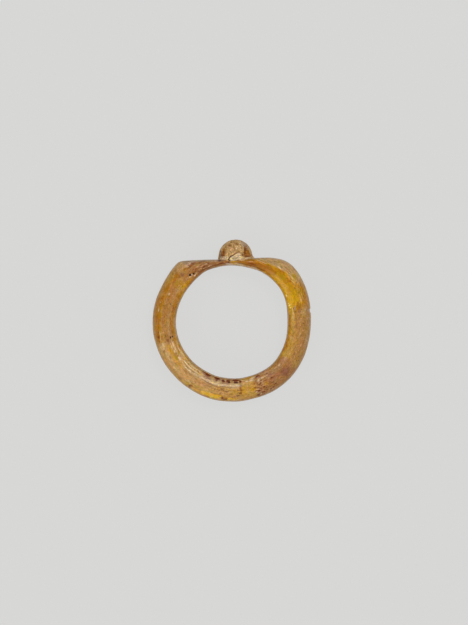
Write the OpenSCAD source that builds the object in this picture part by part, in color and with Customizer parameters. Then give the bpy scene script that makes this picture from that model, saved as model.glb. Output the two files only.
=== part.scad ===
// Finger ring of amber glass: a rounded hoop, pressed flat on top into a table, and a domed drop of
// glass set on the table. The ring lies on its side.
// Millimetres. +Z runs along the finger, +Y points to the drop, and the origin is the middle of the
// finger hole.

/* [Finger hole] */
// Radius of the finger hole
hole_r = 7.75; // [6.5:0.05:9.5]
// Width of the hoop along the finger
hoop_w = 4.8; // [4.6:0.1:7]
// Length along the finger of each rounded inner edge
inner_edge_w = 0.85; // [0.5:0.05:1.2]

/* [Table] */
// Thickness of the glass between the finger hole and the table
table_t = 0.82; // [0.7:0.02:1.4]
// Tilt of the table, in degrees
table_tilt = 2.3; // [0:0.1:4]
// How far the table falls away at its two long edges
edge_drop = 0.4; // [0.2:0.05:0.5]
// Softness of the corner at the table's left end
left_soft = 0.5; // [0.2:0.1:1]
// Softness of the corner at the table's right end
right_soft = 1.7; // [0.5:0.1:2]

/* [Knob] */
// Radius of the drop of glass
knob_r = 2.25; // [1.5:0.05:2.3]
// Height of the drop above the table
knob_h = 2.64; // [2.3:0.02:4]
// Place of the drop along the table
knob_x = 0.3; // [-1:0.1:1]
// How deep the drop is sunk in the table
seat_depth = 0.35; // [0.2:0.01:0.35]
// Gap between the drop and the wall of its seat
seat_gap = 0.05; // [0.02:0.01:0.1]

/* [Hidden] */

// The hoop every 30 degrees, counter-clockwise from +X, before its top is pressed flat: how thick it
// is outside the finger hole, and how far outside the hole its two sides are widest apart
THICK = 0;
WIDEST = 1;
HOOP = [
    // thick, widest
    [2.89, 1.20],  // right side
    [3.33, 1.60],
    [3.45, 1.10],
    [3.40, 0.38],  // under the drop
    [3.40, 0.85],
    [3.10, 1.30],
    [3.20, 1.20],  // left side
    [3.16, 1.15],
    [3.16, 1.10],
    [3.16, 1.05],  // back of the finger
    [3.21, 1.10],
    [3.10, 1.15]
];

// Facets: stations around the hoop, steps over its outer side, and angles over each inner edge
STATIONS = 96;
OUTER_STEPS = 12;
INNER_ANGLES = [30, 50, 70, 90];

half_w = hoop_w / 2;
wall_half = half_w - inner_edge_w;
table_slope = tan(table_tilt);
// The loft passes inside the finger hole by this much, and the bore then cuts it to its true radius
bore_stock = 0.25;
// Where the loft crosses the bore: a short slope either side of it
crossing = 0.02;
// Power of the curve that lowers the table's long edges
edge_power = 4;
// Between these two places along the table its corner changes from the left to the right softness
soft_from = 1;
soft_to = 6;
// Under the drop: a hair's gap to the floor of the seat
floor_gap = 0.02;
// Rounding of the drop's foot
foot_round = 0.12;
DOME_STEPS = 14;

// A value of the table HOOP at any angle, on a smooth closed curve through its rows
function around(column, angle) =
    let(
        rows = len(HOOP),
        place = angle * rows / 360,
        row = floor(place),
        t = place - row,
        v = [for (k = [-1:2]) HOOP[(row + k + rows) % rows][column]]
    )
    v[1] + t / 2 * (v[2] - v[0]
        + t * (2 * v[0] - 5 * v[1] + 4 * v[2] - v[3]
        + t * (3 * (v[1] - v[2]) + v[3] - v[0])));

function smooth_step(t) = let(u = min(max(t, 0), 1)) u * u * (3 - 2 * u);

// The lower of two heights, with a soft corner where they meet
function soft_min(a, b, soft) = min(a, b) - pow(max(soft - abs(a - b), 0), 2) / (4 * soft);

// Height of the pressed table, and the softness of its corners, at a place along it
function table_y(x, z) =
    hole_r + table_t + table_slope * x - edge_drop * pow(abs(z) / half_w, edge_power);
function corner_soft(x) =
    left_soft + (right_soft - left_soft) * smooth_step((x - soft_from) / (soft_to - soft_from));

// One inner edge: distance from the finger's axis and place along it, from the bore to the widest place
function inner_edge(angle, side) =
    let(widest = around(WIDEST, angle))
    [
        [hole_r - bore_stock, side * (wall_half - crossing)],
        [hole_r + crossing, side * (wall_half + crossing)],
        for (a = INNER_ANGLES)
            [hole_r + widest * (1 - cos(a)), side * (wall_half + inner_edge_w * sin(a))]
    ];

// The outer side, between the two widest places
function outer_side(angle) =
    let(
        widest = around(WIDEST, angle),
        rise = around(THICK, angle) - widest
    )
    [
        for (step = [1:OUTER_STEPS - 1])
            let(b = 180 * step / OUTER_STEPS)
            [hole_r + widest + rise * sin(b), half_w * cos(b)]
    ];

function reversed(list) = [for (i = [len(list) - 1:-1:0]) list[i]];

// A closed section of the hoop, as distances from the finger's axis and places along it
function section(angle) = concat(
    inner_edge(angle, 1),
    outer_side(angle),
    reversed(inner_edge(angle, -1))
);

// The section in place, pressed down to the table
function station(angle) = [
    for (p = section(angle))
        let(x = p[0] * cos(angle), y = p[0] * sin(angle))
        [x, soft_min(y, table_y(x, p[1]), corner_soft(x)), p[1]]
];

module loft() {
    sections = [for (i = [0:STATIONS - 1]) station(360 * i / STATIONS)];
    around_count = len(sections[0]);
    points = [for (s = sections) each s];
    faces = [
        for (i = [0:STATIONS - 1], j = [0:around_count - 1])
            let(
                next_i = (i + 1) % STATIONS,
                next_j = (j + 1) % around_count,
                a = i * around_count + j,
                b = next_i * around_count + j,
                c = next_i * around_count + next_j,
                d = i * around_count + next_j
            )
            each [[a, b, c], [a, c, d]]
    ];
    polyhedron(points, faces, convexity = 4);
}

// Puts its children on the table, with their own +Z as the table's normal
module on_table() {
    translate([knob_x, hole_r + table_t + table_slope * knob_x, 0])
        rotate([0, 0, table_tilt])
            rotate([-90, 0, 0])
                children();
}

module hoop() {
    color("#b8873c")
        difference() {
            loft();
            cylinder(h = hoop_w * 2, r = hole_r, center = true, $fn = 180);
            on_table()
                translate([0, 0, -seat_depth])
                    cylinder(h = seat_depth + knob_h, r = knob_r + seat_gap, $fn = 96);
        }
}

module knob() {
    foot = floor_gap - seat_depth;
    shoulder = knob_h - knob_r;
    profile = concat(
        [[0, foot], [knob_r - foot_round, foot], [knob_r, foot + foot_round]],
        [for (i = [0:DOME_STEPS])
            let(a = 90 * i / DOME_STEPS)
            [knob_r * cos(a), shoulder + knob_r * sin(a)]]
    );
    color("#c69e6d")
        on_table()
            rotate_extrude($fn = 96)
                polygon(profile);
}

hoop();
knob();
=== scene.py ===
"""Finger ring of weathered amber glass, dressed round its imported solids.

The hoop and the drop of glass on its table are modelled again at the sizes of the solids, with the uneven
outline, the tool ridges, the pits and the chip of the real ring. Sizes in the tables are millimetres and
angles are degrees, counter-clockwise from +X, with the drop at the top (+Y) and the finger along Z.
"""

import math
from collections import namedtuple

import bmesh
import bpy
import numpy as np
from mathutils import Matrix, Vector, noise


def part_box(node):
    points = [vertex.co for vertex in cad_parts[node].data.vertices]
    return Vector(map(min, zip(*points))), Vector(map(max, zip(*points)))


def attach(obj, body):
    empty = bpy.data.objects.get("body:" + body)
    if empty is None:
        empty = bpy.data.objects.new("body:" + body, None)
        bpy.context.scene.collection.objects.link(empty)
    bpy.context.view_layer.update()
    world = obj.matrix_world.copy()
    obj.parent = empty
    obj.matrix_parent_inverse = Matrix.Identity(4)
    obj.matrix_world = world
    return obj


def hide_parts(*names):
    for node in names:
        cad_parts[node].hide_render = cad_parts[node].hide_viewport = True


bl_info = {
    "name": "Weathered glass finger ring",
    "version": (1, 0, 0),
    "blender": (4, 5, 0),
    "location": "View3D > Sidebar > Glass ring",
    "description": "Builds a finger ring of weathered amber glass on a pale studio floor",
    "category": "Object",
}

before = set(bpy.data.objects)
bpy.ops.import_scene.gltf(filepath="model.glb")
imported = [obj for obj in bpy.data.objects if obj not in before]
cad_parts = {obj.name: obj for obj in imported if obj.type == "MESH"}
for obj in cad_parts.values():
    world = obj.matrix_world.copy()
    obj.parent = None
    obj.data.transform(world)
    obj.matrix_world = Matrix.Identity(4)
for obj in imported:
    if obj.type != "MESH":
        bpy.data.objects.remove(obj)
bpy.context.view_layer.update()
HOOP_LOW, HOOP_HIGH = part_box("hoop")
KNOB_LOW, KNOB_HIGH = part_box("knob")

MM = 0.001
BODY = "root"
HALF_WIDTH = HOOP_HIGH.z / MM
# Length along the finger of each rounded inner edge
EDGE_WIDTH = 0.85

# The hoop every 15 degrees, before its top is pressed flat: radius of the finger hole, radius of the
# outside, and how far outside the hole the two sides are widest apart
Outline = namedtuple("Outline", "angle hole outside widest")
OUTLINE = [
    Outline(0, 7.49, 10.64, 1.20),
    Outline(15, 7.66, 10.86, 1.40),
    Outline(30, 7.87, 11.08, 1.70),
    Outline(45, 7.90, 11.17, 1.60),
    Outline(60, 7.87, 11.20, 1.15),
    Outline(75, 7.72, 11.18, 0.62),
    Outline(90, 7.72, 11.15, 0.38),
    Outline(105, 7.74, 11.15, 0.50),
    Outline(120, 7.83, 11.13, 0.85),
    Outline(135, 7.68, 11.02, 1.15),
    Outline(150, 7.65, 10.85, 1.30),
    Outline(165, 7.73, 10.89, 1.25),
    Outline(180, 7.82, 10.95, 1.20),
    Outline(195, 7.78, 10.92, 1.15),
    Outline(210, 7.74, 10.92, 1.10),
    Outline(225, 7.73, 10.90, 1.05),
    Outline(240, 7.69, 10.91, 1.05),
    Outline(255, 7.74, 10.93, 1.00),
    Outline(270, 7.75, 10.91, 1.00),
    Outline(285, 7.78, 10.82, 1.05),
    Outline(300, 7.86, 10.95, 1.10),
    Outline(315, 7.89, 10.97, 1.15),
    Outline(330, 7.76, 10.85, 1.15),
    Outline(345, 7.61, 10.68, 1.20),
]

# The table that the top of the hoop is pressed into: its height over the middle of the hole, its rise
# to the right, and how far its two long edges fall away, by a power of the place across it. Between two
# places along it, its corner changes from the left to the right softness
TABLE_Y = 8.57
TABLE_SLOPE = 0.04
TABLE_EDGE_DROP = 0.40
TABLE_EDGE_POWER = 4
LEFT_SOFTNESS = 0.5
RIGHT_SOFTNESS = 1.7
SOFTNESS_FROM_X = 1.0
SOFTNESS_TO_X = 6.0

# Long bands on the faces. clear is bare honey-yellow glass, amber its darkest and yellow its brightest, and
# gold is painted glow where its rim is lit. rose and pale are films over it, and chalk is a whitish one that
# is broken up, which also paints light where the bore shows lit at the left, beside the glints on the right,
# along the crest at the lower left and on the outer edge of the right side. ash is a grey bloom and violet a
# purple stain.
# umber, maroon and olive are stains of those colours, and cream is pale flakes and also painted highlight
# lines at the lower left. specked is thick with small brown pits, and lined has fine lines drawn in the
# glass, the bright ones painted highlights. Each band runs round the hoop from one angle to another, between
# two distances outside the hole that may change on the way
Band = namedtuple("Band", "kind start end inner_start inner_end outer_start outer_end strength")
HOOP_BANDS = [
    # left shoulder and side
    Band("rose", 92, 133, -0.5, -0.5, 3.6, 3.6, 0.95),
    Band("rose", 131, 141, -0.5, 2.3, 3.6, 3.6, 0.50),
    Band("pale", 116, 137, 1.35, 2.2, 3.6, 3.6, 0.72),
    Band("rose", 131, 141, -0.5, -0.5, 1.9, 1.7, 0.75),
    Band("umber", 98, 116, 0.45, 0.55, 0.8, 0.9, 0.40),
    Band("ash", 104, 131, 0.85, 2.35, 3.6, 3.6, 1.00),
    Band("amber", 138, 152, 1.9, 1.9, 2.7, 2.8, 0.35),
    Band("amber", 141, 170, 0.9, 0.9, 1.9, 1.8, 0.40),
    Band("amber", 150, 196, 2.05, 2.05, 3.05, 3.05, 0.74),
    Band("rose", 154, 196, 2.90, 2.90, 3.6, 3.6, 0.28),
    Band("rose", 148, 178, 0.75, 0.75, 2.1, 2.1, 0.65),
    Band("rose", 160, 195, 1.40, 1.40, 2.05, 2.00, 0.65),
    Band("rose", 163, 190, 0.8, 0.9, 1.5, 1.5, 0.55),
    Band("rose", 189, 200, 0.6, 0.8, 2.0, 1.9, 0.90),
    # painted light where the bore shows lit at the inner edge
    Band("chalk_and_light", 168, 196, -0.5, -0.5, 0.20, 0.18, 0.62),
    Band("umber", 156, 167, 1.30, 1.30, 1.90, 1.90, 0.25),
    Band("ash", 143, 164, 0.8, 0.8, 1.3, 1.3, 0.20),
    Band("ash", 160, 193, 0.80, 0.80, 1.20, 1.20, 0.28),
    Band("amber", 168, 192, 1.40, 1.40, 2.00, 2.00, 0.40),
    Band("clear", 133, 147, 0.10, 0.10, 0.75, 0.75, 0.60),
    Band("amber", 147, 196, 0.15, 0.35, 0.70, 0.85, 0.70),
    Band("umber", 176, 192, 0.55, 0.50, 0.72, 0.66, 0.35),
    Band("clear", 138, 196, 1.8, 1.9, 2.7, 2.75, 0.50),
    Band("specked", 93, 131, -0.1, 0.2, 2.6, 2.4, 0.80),
    Band("specked", 136, 206, 1.5, 1.4, 2.9, 2.9, 0.30),
    # lower left, pale and yellow
    Band("clear", 199, 248, -0.5, -0.5, 0.95, 0.75, 0.42),
    Band("clear", 198, 224, 1.35, 1.45, 2.0, 1.9, 0.62),
    Band("amber", 198, 229, 1.50, 1.55, 1.95, 1.85, 0.32),
    Band("rose", 226, 252, 1.35, 1.35, 1.95, 1.85, 0.50),
    Band("pale", 199, 283, 1.2, 1.25, 3.6, 3.6, 0.40),
    Band("pale", 204, 238, 2.10, 2.20, 2.60, 2.65, 0.75),
    Band("pale", 203, 213, 1.90, 1.90, 2.60, 2.60, 0.85),
    Band("pale", 211, 223, 0.40, 0.40, 0.85, 0.85, 0.70),
    Band("pale", 213, 246, 0.10, 0.10, 1.35, 1.20, 0.40),
    Band("pale", 214, 246, 0.85, 0.90, 1.35, 1.20, 0.70),
    Band("pale", 240, 276, 0.80, 0.62, 1.50, 1.40, 0.85),
    Band("lined", 198, 284, 0.20, 0.20, 1.50, 1.40, 0.85),
    Band("lined", 198, 284, 1.40, 1.30, 2.60, 2.60, 0.24),
    Band("yellow", 199, 208, 1.45, 1.45, 2.0, 2.0, 0.30),
    Band("yellow", 215, 240, 0.52, 0.50, 0.90, 0.82, 0.70),
    # painted highlight lines along the inner edge
    Band("cream", 218, 230, 0.70, 0.74, 0.82, 0.83, 0.95),
    Band("cream", 229, 240, 0.76, 0.78, 0.86, 0.88, 0.60),
    Band("umber", 229, 247, 0.92, 0.90, 0.99, 0.97, 0.45),
    # painted highlight along the crest, broken up
    Band("chalk_and_light", 228, 250, 1.05, 1.02, 1.22, 1.22, 0.80),
    Band("chalk_and_light", 249, 277, 0.98, 0.74, 1.26, 1.04, 0.80),
    Band("ash", 222, 280, -0.5, -0.5, 1.35, 1.30, 0.58),
    Band("violet", 239, 270, -0.3, -0.3, 0.35, 0.30, 0.30),
    Band("violet", 242, 249, 0.55, 0.60, 0.95, 0.95, 0.50),
    Band("amber", 262, 284, 0.10, 0.10, 0.45, 0.45, 0.50),
    # painted glow where the rim is lit
    Band("lit_gold", 239, 246, 2.76, 2.70, 2.96, 2.96, 0.50),
    Band("lit_gold", 246, 261, 2.52, 2.46, 3.00, 3.00, 1.00),
    Band("lit_gold", 266, 274, 2.62, 2.62, 3.00, 3.00, 0.85),
    Band("yellow", 257, 262, 2.34, 2.34, 2.60, 2.60, 0.80),
    Band("violet", 252, 259, 1.02, 1.00, 1.25, 1.25, 0.40),
    Band("specked", 255, 277, 1.4, 1.4, 2.5, 2.6, 0.75),
    # bottom, clear beside the seam, then rosy and thick with pits
    Band("clear", 276.5, 291, -0.5, -0.5, 3.6, 3.6, 0.48),
    Band("pale", 277.5, 292, 0.6, 0.6, 3.0, 3.0, 0.42),
    Band("yellow", 277, 282, 1.2, 1.2, 2.4, 2.2, 0.55),
    Band("chalk_and_light", 283, 293, 0.25, 0.20, 0.8, 0.7, 0.45),
    Band("pale", 287, 298, 0.6, 0.6, 2.4, 1.9, 0.40),
    Band("rose", 289, 326, -0.5, -0.5, 3.6, 3.6, 0.80),
    Band("rose", 300, 326, 1.2, 1.2, 3.6, 3.6, 0.95),
    Band("chalk_and_light", 296, 302, 0.62, 0.66, 0.86, 0.86, 0.70),
    Band("chalk_and_light", 293, 311, 0.10, 0.12, 0.62, 0.60, 0.30),
    Band("violet", 303, 321, 1.05, 1.15, 2.0, 2.0, 0.45),
    Band("ash", 300, 324, 0.55, 0.6, 1.2, 1.1, 0.40),
    Band("specked", 287, 307, 1.2, 1.3, 3.0, 3.0, 1.00),
    Band("specked", 291, 306, 0.1, 0.1, 1.3, 1.4, 0.65),
    # right side, amber within and tan without
    Band("clear", 325, 368, -0.5, -0.5, 1.3, 1.0, 0.46),
    Band("pale", 322, 362, 0.6, 0.6, 3.6, 3.6, 0.20),
    Band("ash", 324, 364, 0.5, 0.5, 1.1, 1.0, 0.25),
    Band("amber", 328, 368, 0.05, 0.05, 0.45, 0.40, 0.50),
    Band("amber", 354, 367, -0.2, -0.2, 0.45, 0.45, 0.80),
    Band("umber", 353, 366, -0.3, -0.3, 0.32, 0.32, 0.50),
    Band("rose", 326, 374, 1.35, 1.35, 3.6, 3.6, 0.52),
    Band("rose", 353, 374, 0.9, 0.9, 1.6, 1.6, 0.50),
    # painted light that lightens the outer edge against its shading
    Band("chalk_and_light", 336, 374, 2.50, 2.55, 3.6, 3.6, 0.34),
    Band("specked", 326, 420, 1.4, 1.3, 3.0, 2.9, 0.65),
    # right shoulder: clear within its crease, pale tan without
    Band("clear", 8, 26, -0.5, -0.5, 2.2, 2.8, 0.58),
    Band("clear", 13, 36, -0.5, -0.5, 2.6, 2.4, 0.72),
    Band("clear", 18, 36, -0.5, -0.5, 3.6, 2.4, 0.84),
    Band("clear", 33, 92, -0.5, -0.5, 2.1, 0.9, 1.00),
    Band("yellow", 14, 49, 0.2, 0.1, 1.0, 0.7, 0.55),
    Band("yellow", 18, 47, 0.2, 0.1, 1.0, 0.7, 0.85),
    Band("pale", 17, 36, 0.35, 0.35, 1.0, 0.9, 0.75),
    Band("olive", 17, 48, 1.10, 0.95, 1.55, 1.50, 0.36),
    Band("pale", 16, 30, 1.80, 1.90, 2.60, 2.40, 0.45),
    Band("lined", 16, 34, 1.60, 1.60, 2.90, 2.60, 0.75),
    Band("amber", 14, 33, 2.0, 2.3, 3.6, 3.6, 0.45),
    Band("amber", 30, 54, 1.55, 1.25, 1.95, 1.60, 0.25),
    Band("amber", 49, 88, 0.25, 0.22, 1.35, 0.95, 1.00),
    Band("pale", 4, 14, 0.45, 0.45, 0.85, 0.85, 0.95),
    Band("umber", 58, 86, 0.20, 0.26, 0.40, 0.45, 0.80),
    Band("umber", 64, 82, 0.45, 0.45, 0.95, 0.75, 0.35),
    Band("pale", 30, 72, 2.2, 1.10, 3.6, 3.6, 0.84),
    Band("rose", 54, 92, 1.45, 0.60, 3.6, 3.6, 0.28),
    Band("ash", 50, 68, 1.55, 1.25, 2.3, 1.8, 0.40),
    Band("lined", 30, 66, 2.0, 1.4, 3.6, 2.4, 0.60),
    Band("lined", 60, 92, 0.4, 0.4, 1.9, 1.3, 0.60),
    # painted light on the lit bore below the glints
    Band("chalk_and_light", 14, 22, -0.5, -0.5, 0.12, 0.12, 0.60),
    Band("chalk_and_light", 64, 96, -0.4, -0.4, 0.27, 0.33, 1.20),
    Band("umber", 75, 88, 0.48, 0.46, 0.85, 0.75, 0.40),
    Band("umber", 80, 92, 0.40, 0.42, 0.50, 0.52, 0.70),
    Band("umber", 91, 125, 0.26, 0.24, 0.44, 0.38, 1.00),
    Band("maroon", 97, 104, 0.34, 0.36, 0.50, 0.50, 0.80),
    Band("lined", 92, 131, 0.40, 0.45, 1.3, 2.4, 1.00),
]
# How bare the glass is where no band says otherwise
BARE = 0.34
# The far face carries the same marks and bands, turned round the finger by this angle, and this share of
# the bands' strength
FAR_FACE_TURN = 147.0
FAR_FACE_SHARE = 0.75
# Patches of the bore and of the outer side, drawn out round the hoop
Patch = namedtuple("Patch", "kind strength seed")
WALL_PATCHES = [
    Patch("clear", 0.60, 21.3),
    Patch("rose", 0.75, 33.9),
    Patch("pale", 0.60, 45.2),
    Patch("ash", 0.45, 57.7),
    Patch("amber", 0.72, 68.1),
    Patch("specked", 0.60, 79.4),
    Patch("lined", 0.70, 84.6),
]
# Bands and marks were measured from above, where a near face looks larger by this share for each millimetre
# of its height
LOOMING = 0.0035

# Marks on the faces: what they are, where (angle, millimetres outside the hole), how long round the hoop
# and how wide across it, how strong, and how deep they are sunk in the glass. Beside the kinds of the bands
# there are dark pits and pin holes, glints that are painted highlights, and grime that also paints shade
Mark = namedtuple("Mark", "kind angle outside long wide strength depth")


def marks(kind, *rows):
    return [Mark(kind, *row) for row in rows]


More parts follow.
